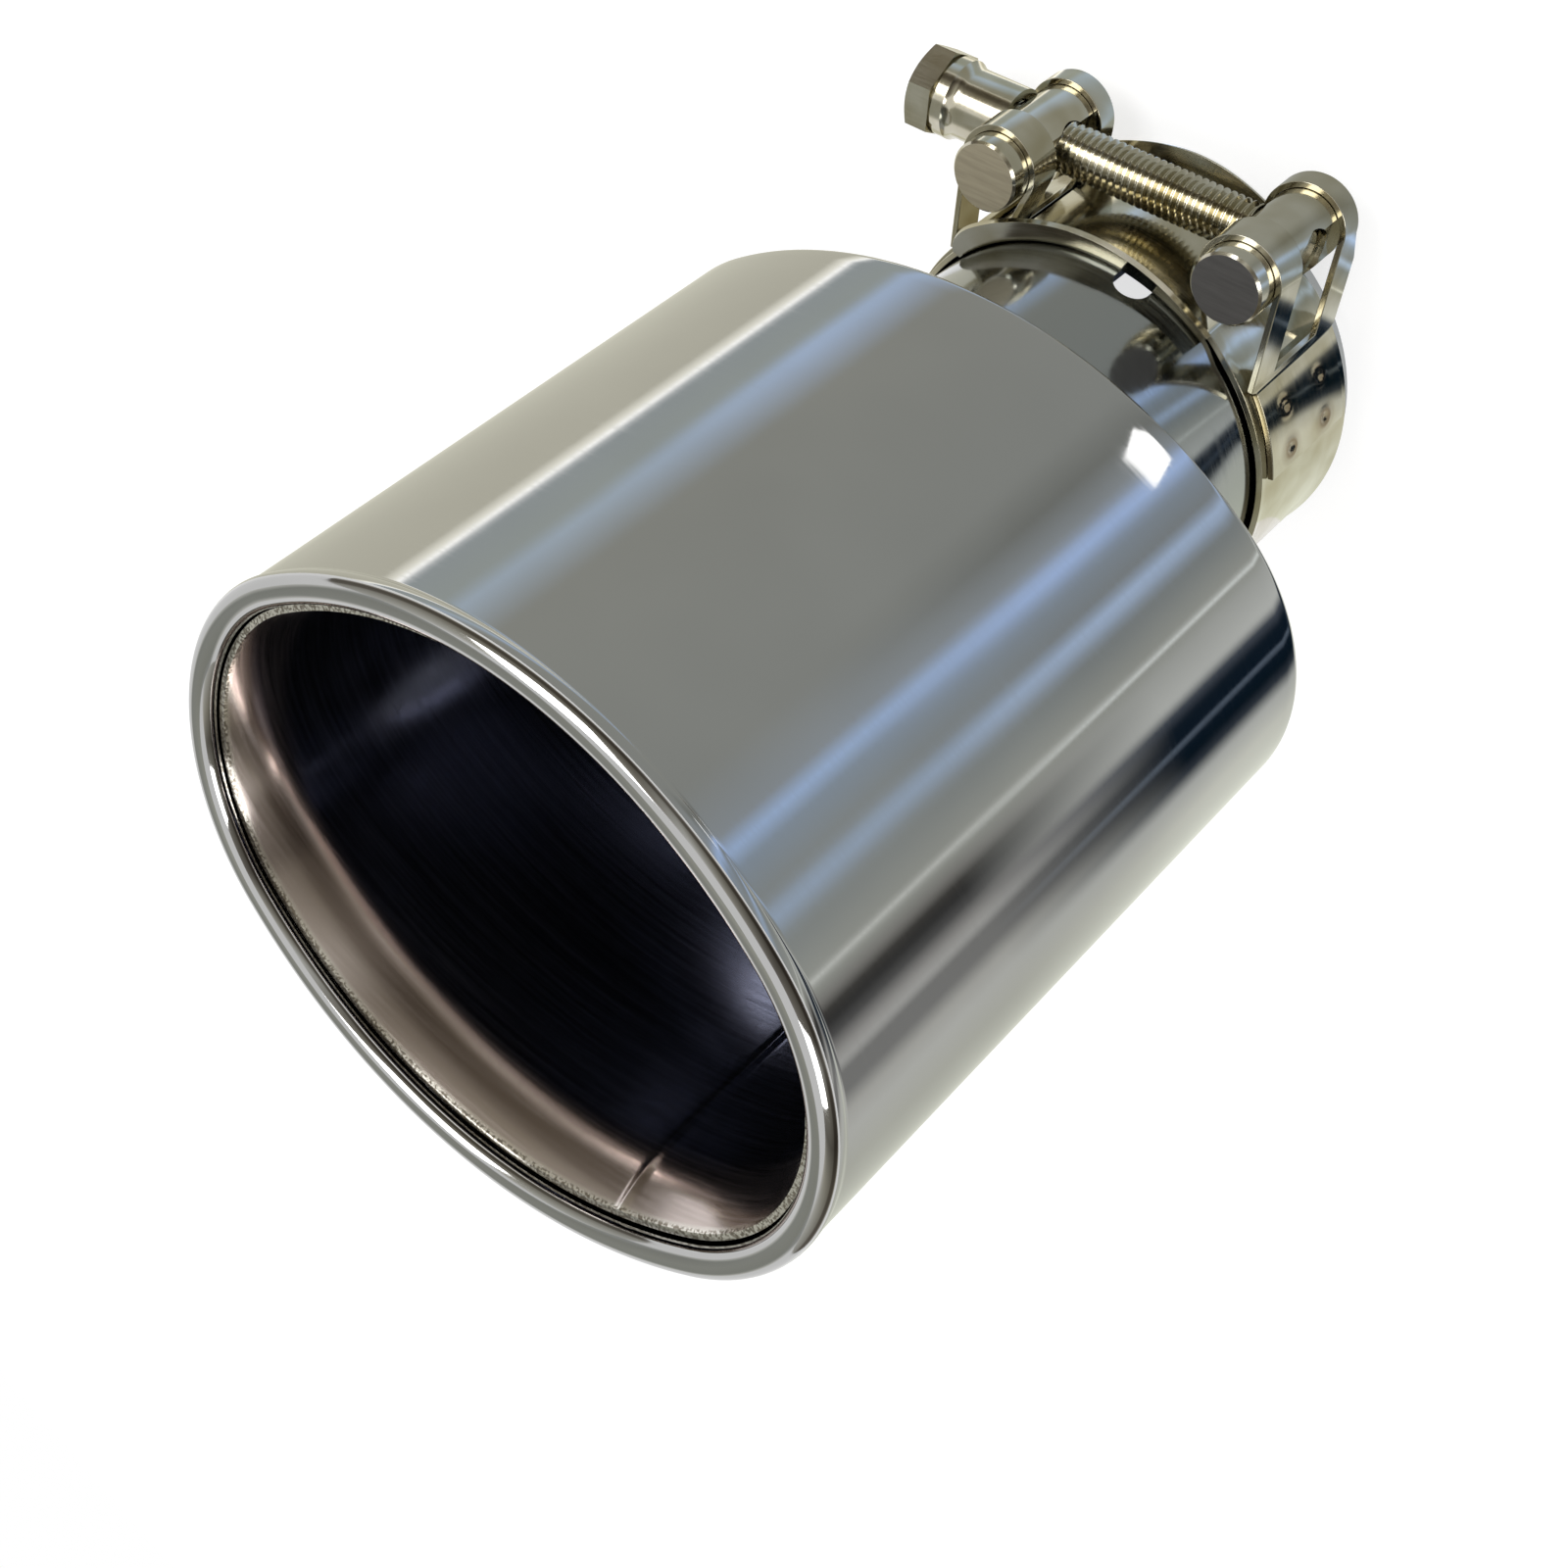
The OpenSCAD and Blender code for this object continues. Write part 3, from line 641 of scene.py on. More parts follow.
def strip_stations(clamp):
    """Stations along the band's strip: its middle, the angle of its right-hand normal, its
    width, how far its edges flare and whether the window is open after it."""
    t, wrap_r = clamp.strip_t, TRUNNION_R + 0.05 * MM
    band_out = NECK_R + bpy.context.scene.tip_shape.clearance + t
    trunnion = Vector((TRUNNION_X, BOLT_Y))
    bend1 = at(clamp.leave_at, band_out + clamp.bend_r)
    to_wrap = trunnion - bend1
    leg_dir = math.atan2(to_wrap.y, to_wrap.x) \
        + math.asin((wrap_r - clamp.bend_r) / to_wrap.length)
    reach = band_out + 0.05 * MM + t + clamp.bend_r
    bend2_x = TRUNNION_X + wrap_r + t + clamp.bend_r
    bend2 = Vector((bend2_x, math.sqrt(reach ** 2 - bend2_x ** 2)))
    tail_at = math.atan2(bend2.y, bend2.x)
    bend_mid, wrap_mid, half_turn = clamp.bend_r + t / 2, wrap_r + t / 2, math.pi

    half = []
    for share in steps(34):
        a = mix(clamp.tail_end, tail_at, share)
        half.append((at(a, tail_radius(clamp)), a, clamp.tail_w, 0, False))
    for share in steps(8, 1):
        a = half_turn + tail_at * (1 - share)
        half.append((bend2 + at(a, bend_mid), a - half_turn,
                     mix(clamp.tail_w, clamp.loop_w, share ** 2), 0, False))
    foot = bend2.y + clamp.window_foot
    half.append((Vector((TRUNNION_X + wrap_mid, foot)), 0, clamp.loop_w, 0, True))
    for share in steps(3, 1)[:-1]:
        half.append((Vector((TRUNNION_X + wrap_mid, mix(foot, BOLT_Y, share))), 0,
                     clamp.loop_w, 0, True))
    for share in steps(44):
        a = (half_turn / 2 + leg_dir) * share
        half.append((trunnion + at(a, wrap_mid), a, clamp.loop_w, 0, True))
    for share in steps(8):
        a = mix(half_turn / 2 + leg_dir, half_turn + clamp.leave_at, share)
        half.append((bend1 + at(a, bend_mid), a, clamp.loop_w, 0, False))
    ring = NECK_R + bpy.context.scene.tip_shape.clearance + t / 2
    for share in steps(100, 1):
        a = mix(clamp.leave_at, -half_turn / 2, share)
        grow = smooth(share * 100 / 6)
        half.append((at(a, ring), a - half_turn, mix(clamp.loop_w, BAND_W, grow),
                     clamp.edge_flare * grow, False))
    mirrored = [(Vector((-p.x, p.y)), half_turn - n, w, f, k > 0 and half[k - 1][4])
                for k, (p, n, w, f, _) in list(enumerate(half))[-2::-1]]
    return half + mirrored


class TIP_OT_band(bpy.types.Operator):
    """Builds the folded and spot-welded clamp band"""
    bl_idname = "tip.band"
    bl_label = "Clamp band"

    def execute(self, context):
        clamp, finishes = context.scene.tip_clamp, context.scene.tip_finishes
        window = clamp.window_w / 2
        inner_mm = [0, 1.5, 3, 3.5, 4, 4.5, 5, 5.5, 6.0, 6.5, 7, 7.5]
        spots = [at(a, tail_radius(clamp)) for a in (clamp.spot_near, clamp.spot_far)]
        points, rows = [], strip_stations(clamp)
        for mid, normal, width, flare, opens in rows:
            edge = width / 2
            up = [z * MM for z in inner_mm] + [edge - clamp.edge_w, edge - clamp.edge_w / 2, edge]
            for z in [-z for z in up[:0:-1]] + up:
                rise = smooth((abs(z) - edge + clamp.edge_w) / clamp.edge_w) * flare
                spot = min((Vector((abs(mid.x), mid.y)) - s).length for s in spots)
                away = math.hypot(spot, abs(z) - clamp.spot_pitch / 2) / (clamp.spot_d / 2)
                # A raised ring round a dimple, as the welding electrode leaves it
                dent = -clamp.spot_depth * (math.exp(-2 * away ** 2)
                                            - 0.5 * math.exp(-9 * (away - 1) ** 2))
                dent = dent if away < 2 and mid.length < tail_radius(clamp) + 0.1 * MM \
                    and abs(mid.length - tail_radius(clamp)) < 0.2 * MM else 0
                p = mid + at(normal, dent - rise)
                high = smooth((mid.y - NECK_R) / (BOLT_Y - NECK_R)) if opens else 0
                past = max(0.0, -z - window) / (edge - window)
                points.append((p.x, p.y, MID_Z + z + past * high * clamp.loop_trim))
        columns = 2 * len(inner_mm) + 5
        levels = [-z * MM for z in inner_mm[:0:-1]] + [z * MM for z in inner_mm]

        def keep(row, column):
            """Whether a quad lies outside the windows."""
            if not rows[row][4]:
                return True
            inside = column - 3
            return not (0 <= inside < len(levels) - 1
                        and abs(levels[inside] + levels[inside + 1]) / 2 < window)

        points, faces = drop_loose(points, grid_faces(len(rows), columns, keep))
        piece = add_piece("folded_band", points, faces, welded_steel(clamp, finishes),
                          "tip", "band", ["clamp_band"], sharp=80)
        thicken(piece, clamp.strip_t, 0, 0.14 * MM)
        return {"FINISHED"}


class TIP_OT_bridge(bpy.types.Operator):
    """Builds the bridge plate with its flared edges"""
    bl_idname = "tip.bridge"
    bl_label = "Bridge plate"

    def execute(self, context):
        clamp, finishes = context.scene.tip_clamp, context.scene.tip_finishes
        t = clamp.bridge_t
        base = NECK_R + context.scene.tip_shape.clearance / 2 + t / 2
        half = BAND_W / 2 + 0.3 * MM + t / 2
        top = BRIDGE_HIGH.z - MID_Z - t / 4
        # How far each flared edge stands off the neck at its highest
        rise = 3.9 * MM
        # Across the plate: its flat base, the bend at each long edge and the flared edge
        across = [(half * s, 0.0, 0.0) for s in steps(8)]
        across[-1] = (half - 0.5 * MM, 0.0, 0.0)
        across += [(half - 0.1 * MM, 0.25 * MM, 0.03), (half + 0.15 * MM, 0.8 * MM, 0.15)]
        across += [(mix(half + 0.15 * MM, top, s), mix(0.8 * MM, rise, s), s)
                   for s in steps(5, 1)]
        profile = [(-z, r, s) for z, r, s in across[:0:-1]] + across
        turns = [mix(clamp.flange_from, clamp.flange_to, s) for s in steps(64)]
        points = []
        for turn in turns:
            # The edges are lower under the threaded trunnion and end in a rounded corner
            degrees = math.degrees(turn)
            height = 0.62 + 0.38 * smooth((degrees - 58) / 40)
            past = max(0.0, (degrees - 127) / 11.6)
            height *= math.sqrt(max(0.04, 1 - past * past))
            for z, r, share in profile:
                edge = math.copysign(half, z)
                if share > 0:
                    z, r = mix(edge, z, height), r * height
                points.append((*at(turn, base + r), MID_Z + z))
        half_base = clamp.bridge_half
        flare_columns = len(across) - 1 - 7

        def keep(row, column):
            """Whether a quad is part of the base or of a flared edge."""
            middle = (turns[row] + turns[row + 1]) / 2
            in_base = abs(middle - math.pi / 2) < half_base
            return in_base or not flare_columns <= column < len(profile) - 1 - flare_columns

        points, faces = drop_loose(points, grid_faces(len(turns), len(profile), keep))
        steel = bright_steel("rolled_stainless_bridge", finishes.steel, finishes.steel_warm)
        piece = add_piece("bridge_channel", points, faces, steel, "tip", "bridge",
                          ["bridge_plate"], sharp=80)
        thicken(piece, t, 0, 0.14 * MM)
        return {"FINISHED"}


class TIP_OT_trunnions(bpy.types.Operator):
    """Gives the trunnions and the spacer sleeve their turned finish"""
    bl_idname = "tip.trunnions"
    bl_label = "Trunnions and sleeve"

    def execute(self, context):
        finishes = context.scene.tip_finishes
        finish = {
            "plain_trunnion": turned_trunnion("turned_steel_plain", finishes,
                                              finishes.pale_end),
            "threaded_trunnion": turned_trunnion("turned_steel_threaded", finishes,
                                                 finishes.dark_end),
            "spacer_sleeve": bright_steel("turned_steel_sleeve", finishes.steel,
                                          finishes.steel_warm, 0.1, 0.2, (1, 30, 30)),
        }
        for node, material in finish.items():
            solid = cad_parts[node]
            if node.endswith("trunnion"):
                solid = self.trimmed(solid, node, context.scene.tip_clamp.rear_trim)
            solid.data.materials.clear()
            solid.data.materials.append(material)
        return {"FINISHED"}

    def trimmed(self, solid, node, rear_trim):
        """The bar with its rear end flush with the loop, as the tightened clamp shows it."""
        piece = bpy.data.objects.new(node.replace("trunnion", "bar"), solid.data.copy())
        bpy.context.scene.collection.objects.link(piece)
        for vertex in piece.data.vertices:
            # The rear end with its chamfer
            if vertex.co.z < TRUNNION_LOW.z + 2 * MM:
                vertex.co.z += rear_trim
        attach(piece, "tip")
        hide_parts(node)
        return piece


class TIP_OT_bolt(bpy.types.Operator):
    """Builds the hexagon bolt with its thread"""
    bl_idname = "tip.bolt"
    bl_label = "Clamp bolt"

    def execute(self, context):
        clamp, finishes = context.scene.tip_clamp, context.scene.tip_finishes
        axis_z = (BOLT_LOW.z + BOLT_HIGH.z) / 2
        axis_y = (BOLT_LOW.y + BOLT_HIGH.y) / 2
        seat = BOLT_LOW.x + clamp.head_h
        end = BOLT_HIGH.x
        r, depth, chamfer, count = clamp.bolt_d / 2, clamp.thread_depth, 0.8 * MM, 36
        # Flank, flat root, flank and flat crest over one turn
        turn = [(0.0, 0.0), (0.36, 1.0), (0.5, 1.0), (0.86, 0.0)]
        turns = math.ceil((end - seat) / clamp.pitch) + 2
        points, faces, rows = [], [], turns * len(turn)

        def place(x, turn_at, radius):
            """Adds a point at a turn about the bolt's axis."""
            points.append((x, axis_y + radius * math.cos(turn_at),
                           axis_z + radius * math.sin(turn_at)))

        for row in range(rows):
            share, deep = turn[row % len(turn)]
            for i in range(count):
                x = seat + (row // len(turn) + share - 1 + i / count) * clamp.pitch
                radius = min(r - deep * depth, r - chamfer + max(0.0, end - x))
                place(min(end, max(seat, x)), 2 * math.pi * i / count, radius)
        for row in range(rows - 1):
            for i in range(count):
                j, step = (i + 1) % count, len(turn) if i == count - 1 else 0
                if row + 1 + step < rows:
                    faces.append((row * count + i, (row + step) * count + j,
                                  (row + 1 + step) * count + j, (row + 1) * count + i))
        # Hexagon head: chamfered top, flats, underside and washer face
        flat, first = clamp.head_af / 2, len(points)
        # Radius of the flat top inside the chamfer, and of the washer face but for 2%
        corner = clamp.head_af * 0.47
        ring = 72
        for level in range(6):
            for i in range(ring):
                turn_at = 2 * math.pi * i / ring
                hexagon = flat / math.cos(turn_at % (math.pi / 3) - math.pi / 6)
                drop = max(0.0, hexagon - corner) / 2
                radius, x = [(corner * 0.55, BOLT_LOW.x + 0.25 * MM), (corner * 0.75, BOLT_LOW.x),
                             (min(corner, hexagon), BOLT_LOW.x), (hexagon, BOLT_LOW.x + drop),
                             (hexagon, seat - 0.4 * MM),
                             (corner * 0.98, seat - 0.4 * MM)][level]
                place(x, turn_at, radius)
        for level in range(5):
            for i in range(ring):
                a, b = first + level * ring + i, first + level * ring + (i + 1) % ring
                faces.append((a, a + ring, b + ring, b))
        place(BOLT_LOW.x + 0.25 * MM, 0, 0)
        faces += [(len(points) - 1, first + i, first + (i + 1) % ring) for i in range(ring)]
        washer = len(points)
        for i in range(ring):
            place(seat, 2 * math.pi * i / ring, corner * 0.98)
        under = first + 5 * ring
        faces += [(under + i, washer + i, washer + (i + 1) % ring, under + (i + 1) % ring)
                  for i in range(ring)]
        place(seat, 0, 0)
        faces += [(washer + (i + 1) % ring, washer + i, len(points) - 1) for i in range(ring)]
        place(end, 0, 0)
        tip_end = len(points) - 1
        last = (rows - len(turn) - 1) * count
        faces += [(tip_end, last + (i + 1) % count, last + i) for i in range(count)]
        steel = bright_steel("rolled_thread_steel", finishes.steel, finishes.steel_warm,
                             0.12, 0.24, (30, 1, 1))
        add_piece("hexagon_bolt", *drop_loose(points, faces), steel, "bolt", "bolt",
                  ["clamp_bolt"], sharp=28)
        return {"FINISHED"}


# The stage

# Viewpoint of the photograph, fitted to the object: place in metres, and the picture's
# right, down and forward directions
CAMERA_AT = (0.1228, 0.2137, 0.2605)
CAMERA_RIGHT = Vector((0.7273, -0.0201, -0.6861))
CAMERA_DOWN = Vector((0.5164, -0.6425, 0.5662))
CAMERA_FORWARD = Vector((-0.4522, -0.7660, -0.4569))
PICTURE = 1600
FOCAL_PX = 1976.9
CENTRE_PX = (641.8, 787.7)


def light_path_white(tree):
    """1 where the camera looks or a mirror or glass shows the background."""
    path = add_node(tree, "ShaderNodeLightPath")
    total = path.outputs["Is Camera Ray"]
    for kind in ("Is Glossy Ray", "Is Transmission Ray"):
        total = add_node(tree, "ShaderNodeMath", [(0, total), (1, path.outputs[kind])],
                         operation="MAXIMUM").outputs[0]
    return total


def hidden_card(name, points, faces, material):
    """A reflector that only mirrors show."""
    mesh = bpy.data.meshes.new(name)
    mesh.from_pydata([tuple(p) for p in points], [], faces)
    card = bpy.data.objects.new(name, mesh)
    bpy.context.scene.collection.objects.link(card)
    mesh.materials.append(material)
    card.visible_camera = card.visible_diffuse = card.visible_shadow = False
    card.visible_transmission = card.visible_volume_scatter = False
    return card


def glow(name, hex_colour, strength):
    """The even glow of a reflector."""
    material, tree = new_material(name)
    light = add_node(tree, "ShaderNodeEmission", Color=(*linear(hex_colour), 1),
                     Strength=strength)
    add_node(tree, "ShaderNodeOutputMaterial", [("Surface", light.outputs[0])])
    return material


def area_light(name, place, target, size, watts):
    """A white lamp that points at a target."""
    light = bpy.data.lights.new(name, "AREA")
    light.shape = "RECTANGLE"
    light.size, light.size_y = size
    light.energy = watts
    lamp = bpy.data.objects.new(name, light)
    bpy.context.scene.collection.objects.link(lamp)
    lamp.location = place
    lamp.rotation_euler = (Vector(target) - Vector(place)).to_track_quat("-Z", "Y").to_euler()
    return lamp


# Bands of the table close to the tip and farther out, by the direction in degrees of the
# wall that mirrors them: the polished wall shows them as the long streaks of a chrome part
NEAR_BANDS = [
    (-40, "#b0b2a5"), (-8, "#aeb0a6"), (7, "#b0b1a9"), (15, "#9ea09d"), (19, "#2a3038"),
    (22, "#08131c"), (25.5, "#0a1520"), (26.5, "#55606e"), (27.5, "#0a1520"), (31, "#0e1822"),
    (33.5, "#3a4049"), (36, "#a9aba8"), (43, "#989a97"), (45.6, "#8c8e89"), (46.2, "#c8ccca"),
    (47.2, "#8c8e89"), (54.8, "#74797a"), (56.6, "#9db0cc"), (58, "#757a7c"), (61, "#7b8590"),
    (63, "#9db4dc"), (64.5, "#81878c"), (68, "#6b6d6a"), (72, "#7d7f7c"), (93, "#80817c"),
    (98.6, "#9aabc4"), (100.5, "#8a908e"), (105.4, "#868c8e"), (106, "#ffffff"),
    (107, "#d8d6cb"), (108.5, "#a6a497"), (152, "#a2a195"),
]
FAR_BANDS = [
    (-40, "#b0b2a5"), (7, "#9e9f97"), (16, "#a6a7a3"), (21, "#9d9d99"), (25, "#6f6f6e"),
    (29, "#6f6f6e"), (31, "#9a9a98"), (33, "#8c8b89"), (36.5, "#4a4a4a"), (39, "#2e2e2e"),
    (41, "#393836"), (43, "#71706d"), (46, "#8c8e89"), (47, "#b4b6b2"), (48, "#8c8e89"),
    (55, "#7d8180"), (57, "#8f9fb4"), (58.5, "#7d8180"), (62, "#7d8894"), (63.5, "#93a8c8"),
    (65, "#81878c"), (70, "#7d7f7c"), (93, "#80817c"), (98, "#95a1ad"), (100, "#8a908e"),
    (105.4, "#868c8e"), (106, "#ffffff"), (107, "#d8d6cb"), (108.5, "#a6a497"),
    (152, "#a2a195"),
]


# Tones of the room by the share of its height and of its turn, which are multiplied
ROOM_HEIGHTS = [(0.0, "#f2f0ea"), (0.05, "#98938a"), (0.1, "#6b665e"), (0.24, "#77726a"),
                (0.3, "#a8a69e"), (0.5, "#c4c3bc"), (0.8, "#dcdcd6"), (1.0, "#ffffff")]
ROOM_TURNS = [(0.0, "#ffffff"), (0.12, "#d8d4ca"), (0.2, "#8f8b85"), (0.29, "#c9c5bf"),
              (0.33, "#ffffff"), (0.37, "#a9a49e"), (0.5, "#8d8883"), (0.58, "#cfcbc4"),
              (0.63, "#ffffff"), (0.68, "#b5b0a8"), (0.85, "#dad6cc"), (1.0, "#ffffff")]
CEILING_HEIGHTS = [(0.0, "#ffffff"), (0.14, "#b4b6b4"), (0.5, "#b9bab6"), (1.0, "#d5d5cf")]
CEILING_TURNS = [(0.0, "#ffffff"), (0.12, "#e4e4de"), (0.5, "#f0f0ea"), (0.9, "#e8e8e0"),
                 (1.0, "#ffffff")]


def ramped_card(name, points, faces, places, heights, turns):
    """A reflector with tones by the share up it, times tones by the share across it."""
    material, tree = new_material(name)
    along = add_node(tree, "ShaderNodeUVMap", uv_map="across")
    parts = add_node(tree, "ShaderNodeSeparateXYZ", [("Vector", along.outputs["UV"])])
    up = add_node(tree, "ShaderNodeValToRGB", [("Fac", parts.outputs["Y"])],
                  [(place, linear(tone)) for place, tone in heights]).outputs["Color"]
    across = add_node(tree, "ShaderNodeValToRGB", [("Fac", parts.outputs["X"])],
                      [(place, linear(tone)) for place, tone in turns]).outputs["Color"]
    both = add_node(tree, "ShaderNodeMix", [(0, 1.0), (6, up), (7, across)],
                    data_type="RGBA", blend_type="MULTIPLY")
    light = add_node(tree, "ShaderNodeEmission", [("Color", both.outputs[2])], Strength=1.0)
    add_node(tree, "ShaderNodeOutputMaterial", [("Surface", light.outputs[0])])
    card = hidden_card(name, points, faces, material)
    layer = card.data.uv_layers.new(name="across")
    for loop in card.data.loops:
        layer.data[loop.index].uv = places[loop.vertex_index]
    return card


class TIP_OT_stage(bpy.types.Operator):
    """Builds the floor, the reflectors, the lights and the camera"""
    bl_idname = "tip.stage"
    bl_label = "Stage"

    def execute(self, context):
        scene = context.scene
        scene.view_settings.view_transform = "Standard"
        self.camera(scene)
        self.world(scene)
        self.floor(scene)
        self.table_bands(context)
        self.room()
        area_light("key_light", (-0.5, 0.9, 1.1), (0, 0, 0.08), (0.7, 0.7), 9)
        area_light("fill_light", (0.9, 0.1, 0.9), (0, 0, 0.08), (0.5, 0.5), 4)
        return {"FINISHED"}

    def camera(self, scene):
        """The camera at the photograph's viewpoint, for a square picture."""
        data = bpy.data.cameras.new("photo_camera")
        camera = bpy.data.objects.new("photo_camera", data)
        scene.collection.objects.link(camera)
        data.type = "PERSP"
        data.sensor_width = 36
        data.lens = FOCAL_PX * data.sensor_width / PICTURE
        data.shift_x = (PICTURE / 2 - CENTRE_PX[0]) / PICTURE
        data.shift_y = (CENTRE_PX[1] - PICTURE / 2) / PICTURE
        data.clip_start, data.clip_end = 0.01, 20
        turn = Matrix((CAMERA_RIGHT, -CAMERA_DOWN, -CAMERA_FORWARD)).transposed()
        camera.matrix_world = Matrix.Translation(CAMERA_AT) @ turn.to_4x4()
        scene.camera = camera

    def world(self, scene):
        """A world that looks white and lights at a plain level."""
        world = bpy.data.worlds.new("studio_white")
        scene.world = world
        world.use_nodes = True
        tree = world.node_tree
        tree.nodes.clear()
        strength = add_node(tree, "ShaderNodeMapRange",
                            [("Value", light_path_white(tree)), ("To Min", 0.7),
                             ("To Max", 1.0)])
        back = add_node(tree, "ShaderNodeBackground", [("Strength", strength.outputs[0])],
                        Color=(1, 1, 1, 1))
        add_node(tree, "ShaderNodeOutputWorld", [("Surface", back.outputs[0])])

    def floor(self, scene):
        """The white floor that keeps the shadow, and the shade inside the neck."""
        material, tree = new_material("white_paper_floor")
        paper = add_node(tree, "ShaderNodeBsdfDiffuse", Color=(*grey(0.42), 1))
        strength = add_node(tree, "ShaderNodeMath", [(0, light_path_white(tree)), (1, 0.72)],
                            operation="MULTIPLY")
        shine = add_node(tree, "ShaderNodeEmission", [("Strength", strength.outputs[0])])
        both = add_node(tree, "ShaderNodeAddShader", [(0, paper.outputs[0]),
                                                      (1, shine.outputs[0])])
        add_node(tree, "ShaderNodeOutputMaterial", [("Surface", both.outputs[0])])
        mesh = bpy.data.meshes.new("paper_floor")
        reach = 4.0
        mesh.from_pydata([(-reach, -reach, 0), (reach, -reach, 0), (reach, reach, 0),
                          (-reach, reach, 0)], [], [(0, 1, 2, 3)])
        floor = bpy.data.objects.new("paper_floor", mesh)
        scene.collection.objects.link(floor)
        floor.location.z = -0.1 * MM
        mesh.materials.append(material)
        # The shade inside the neck, which stands on the floor
        disc = [(*at(math.radians(10 * i), NECK_R - 1.6 * MM), 0.05 * MM) for i in range(36)]
        shade = bpy.data.meshes.new("neck_shade")
        shade.from_pydata(disc, [], [tuple(range(36))])
        piece = bpy.data.objects.new("neck_shade", shade)
        scene.collection.objects.link(piece)
        shade.materials.append(glow("neck_shade", "#33363f", 1.0))
        piece.visible_camera = False

    def table_bands(self, context):
        """A card on the floor whose bands run the way the wall throws the view."""
        oval = Oval(context.scene.tip_shape, [])
        first, last, count = NEAR_BANDS[0][0], NEAR_BANDS[-1][0], 384
        far, rows = 0.6, 24
        points, places = [], []
        for share in steps(count):
            normal = math.radians(mix(first, last, share))
            foot = oval.point(normal, 0)
            # Mirror law for a level view of a standing wall, from the camera's place
            sight = Vector(CAMERA_AT[:2]) - foot
            toward = math.atan2(sight.y, sight.x)
            row = [at(normal, NECK_R + 1 * MM)]
            row += [foot + at(2 * normal - toward, far * s * s) for s in steps(rows)]
            for k, p in enumerate(row):
                points.append((p.x, p.y, 0.5 * MM))
                places.append((share, k / (rows + 1)))
        material, tree = new_material("table_bands")
        along = add_node(tree, "ShaderNodeUVMap", uv_map="across")
        parts = add_node(tree, "ShaderNodeSeparateXYZ", [("Vector", along.outputs["UV"])])
        near, distant = [
            add_node(tree, "ShaderNodeValToRGB", [("Fac", parts.outputs["X"])],
                     [((d - first) / (last - first), linear(c)) for d, c in bands]).outputs["Color"]
            for bands in (NEAR_BANDS, FAR_BANDS)]
        # The bands change between 11 and 21 cm from the wall
        away = add_node(tree, "ShaderNodeValToRGB", [("Fac", parts.outputs["Y"])],
                        [(0.45, grey(0.0)), (0.61, grey(1.0))]).outputs["Color"]
        blend = add_node(tree, "ShaderNodeMix", [(0, away), (6, near), (7, distant)],
                         data_type="RGBA")
        # The chrome gives back about half of what it mirrors, so the card glows that much more
        light = add_node(tree, "ShaderNodeEmission", [("Color", blend.outputs[2])],
                         Strength=2.05)
        add_node(tree, "ShaderNodeOutputMaterial", [("Surface", light.outputs[0])])
        card = hidden_card("table_bands", points,
                           grid_faces(count + 1, rows + 2, lambda r, c: True), material)
        layer = card.data.uv_layers.new(name="across")
        for loop in card.data.loops:
            layer.data[loop.index].uv = places[loop.vertex_index]

    def room(self):
        """The square lamp by the tip, and the grey room behind the camera and overhead."""
        lamp = [(45.6, 103.3), (52.9, 98.1), (63.8, 94.7), (71.4, 99.5), (54.6, 107.8)]
        hidden_card("square_lamp", [(x * MM, y * MM, 1.2 * MM) for x, y in lamp],
                    [tuple(range(len(lamp)))], glow("square_lamp", "#ffffff", 2.6))
        # A wall round the camera's side, by its share across and up
        across, up, reach = 72, 24, 1.3
        points, places = [], []
        for share in steps(across):
            for height in steps(up):
                turn = math.radians(mix(-70, 165, share))
                points.append((*at(turn, reach), mix(0.02, 1.7, height)))
                places.append((share, height))
        ramped_card("room_wall", points, grid_faces(across + 1, up + 1, lambda r, c: True),
                    places, ROOM_HEIGHTS, ROOM_TURNS)
        # A sloping ceiling panel on the far side, which the lip's crest shows
        points, places = [], []
        for share in steps(20):
            for height in steps(12):
                turn, rise = math.radians(mix(165, 290, share)), math.radians(mix(34, 88, height))
                points.append((*at(turn, 1.6 * math.cos(rise)), 1.6 * math.sin(rise)))
                places.append((share, height))
        ramped_card("ceiling_panel", points, grid_faces(21, 13, lambda r, c: True), places,
                    CEILING_HEIGHTS, CEILING_TURNS)


# Panel and registration

OPERATORS = (TIP_OT_shell, TIP_OT_liner, TIP_OT_neck, TIP_OT_band, TIP_OT_bridge,
             TIP_OT_trunnions, TIP_OT_bolt, TIP_OT_stage)


class TIP_PT_panel(bpy.types.Panel):
    """Lists what builds the exhaust tip"""
    bl_idname = "TIP_PT_panel"
    bl_label = "Exhaust tip"
    bl_space_type = "VIEW_3D"
    bl_region_type = "UI"
    bl_category = "Exhaust tip"

    def draw(self, context):
        for operator in OPERATORS:
            self.layout.operator(operator.bl_idname)
        for group in (context.scene.tip_shape, context.scene.tip_clamp,
                      context.scene.tip_finishes):
            for name in group.bl_rna.properties.keys():
                if name not in ("rna_type", "name"):
                    self.layout.prop(group, name)


CLASSES = (TipShape, ClampShape, Finishes, *OPERATORS, TIP_PT_panel)


def register():
    """Registers the classes and the scene's properties."""
    for cls in CLASSES:
        bpy.utils.register_class(cls)
    bpy.types.Scene.tip_shape = bpy.props.PointerProperty(type=TipShape)
    bpy.types.Scene.tip_clamp = bpy.props.PointerProperty(type=ClampShape)
    bpy.types.Scene.tip_finishes = bpy.props.PointerProperty(type=Finishes)


def unregister():
    """Takes away what register adds."""
    for name in ("tip_shape", "tip_clamp", "tip_finishes"):
        delattr(bpy.types.Scene, name)
    for cls in reversed(CLASSES):
        bpy.utils.unregister_class(cls)


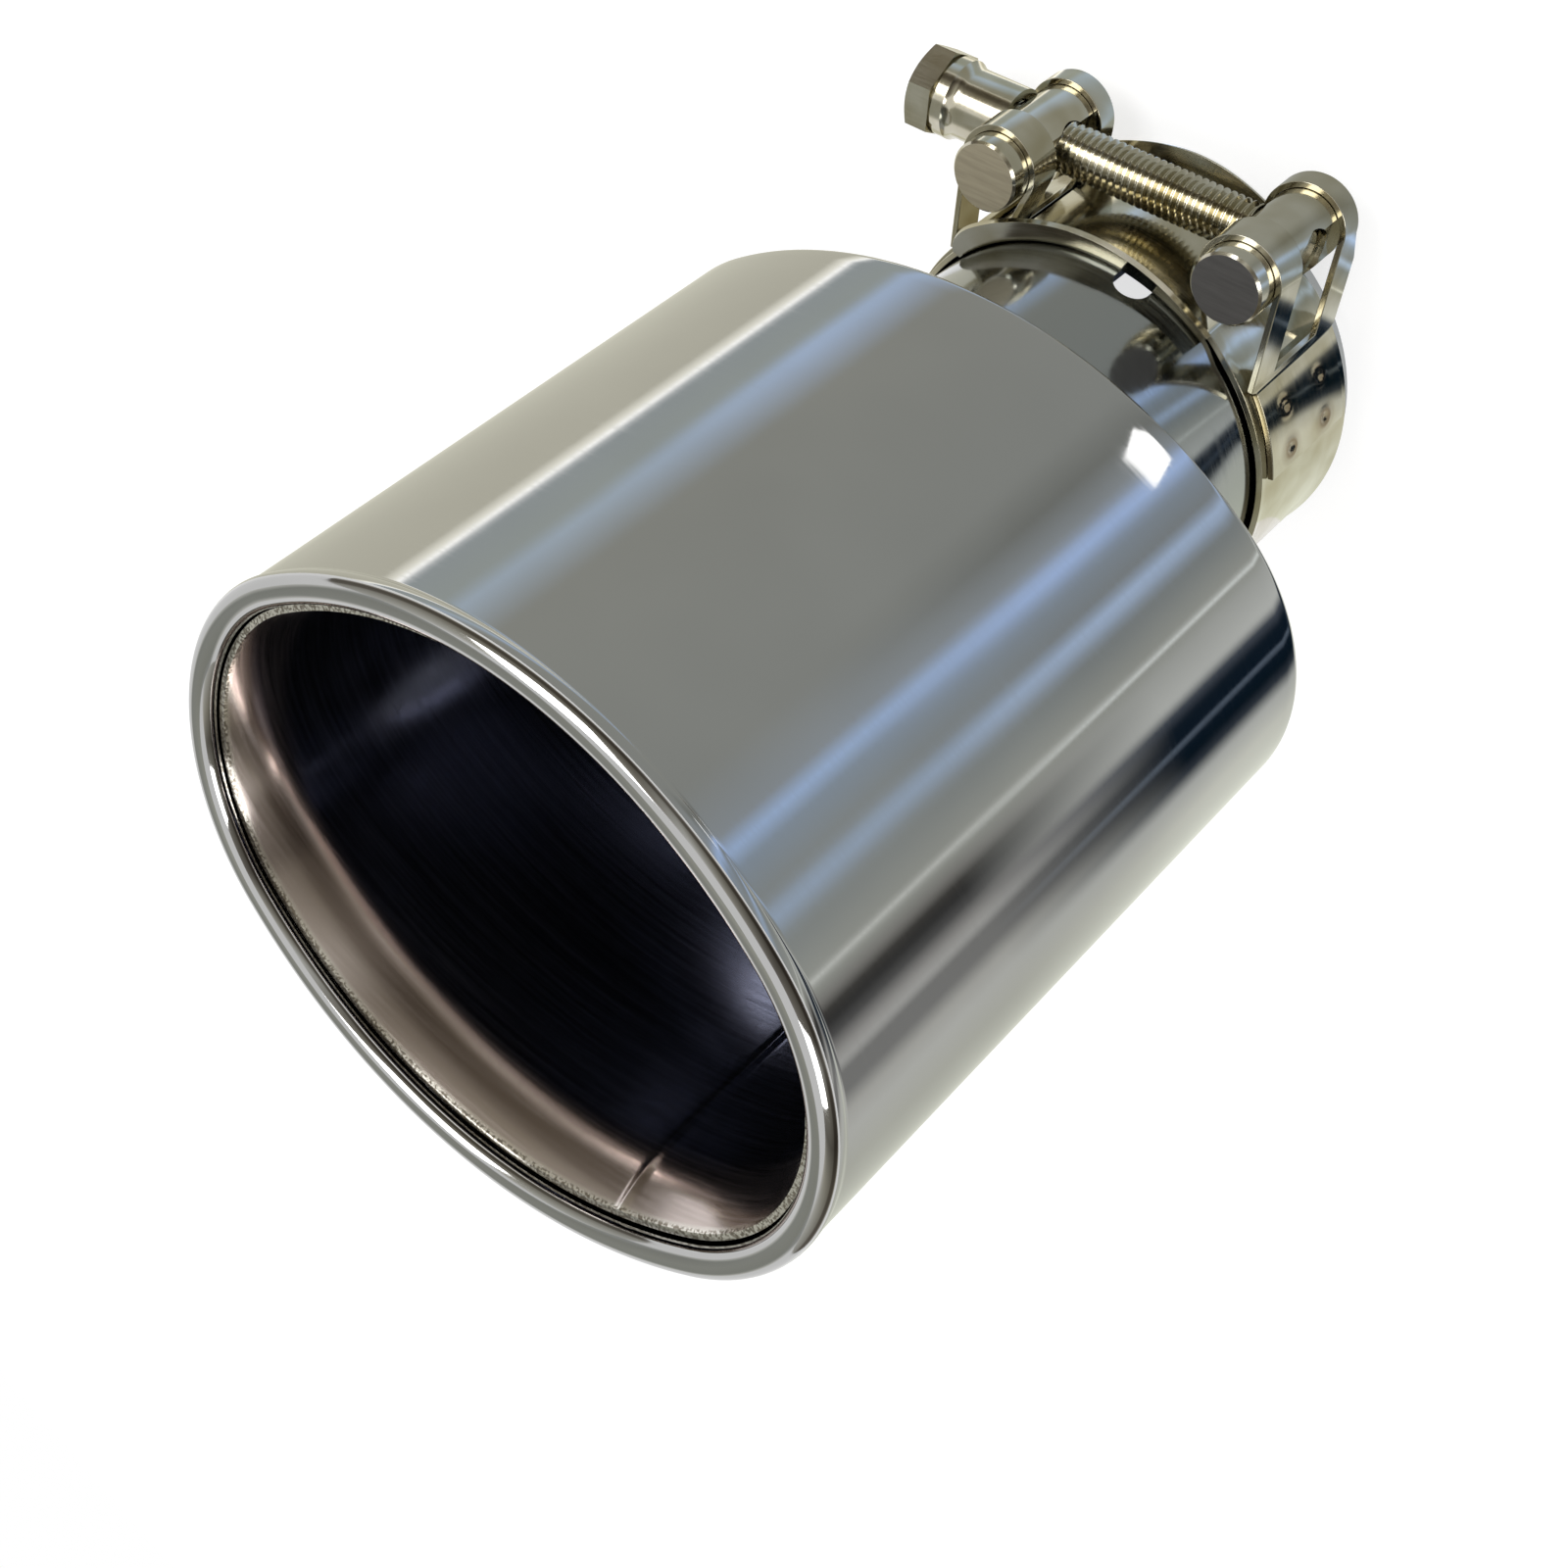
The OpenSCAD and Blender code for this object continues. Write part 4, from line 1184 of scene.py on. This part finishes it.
def main():
    """Builds the stage and every piece."""
    register()
    for operator in (bpy.ops.tip.stage, bpy.ops.tip.shell, bpy.ops.tip.liner,
                     bpy.ops.tip.neck, bpy.ops.tip.band, bpy.ops.tip.bridge,
                     bpy.ops.tip.trunnions, bpy.ops.tip.bolt):
        operator()


if __name__ == "__main__":
    main()
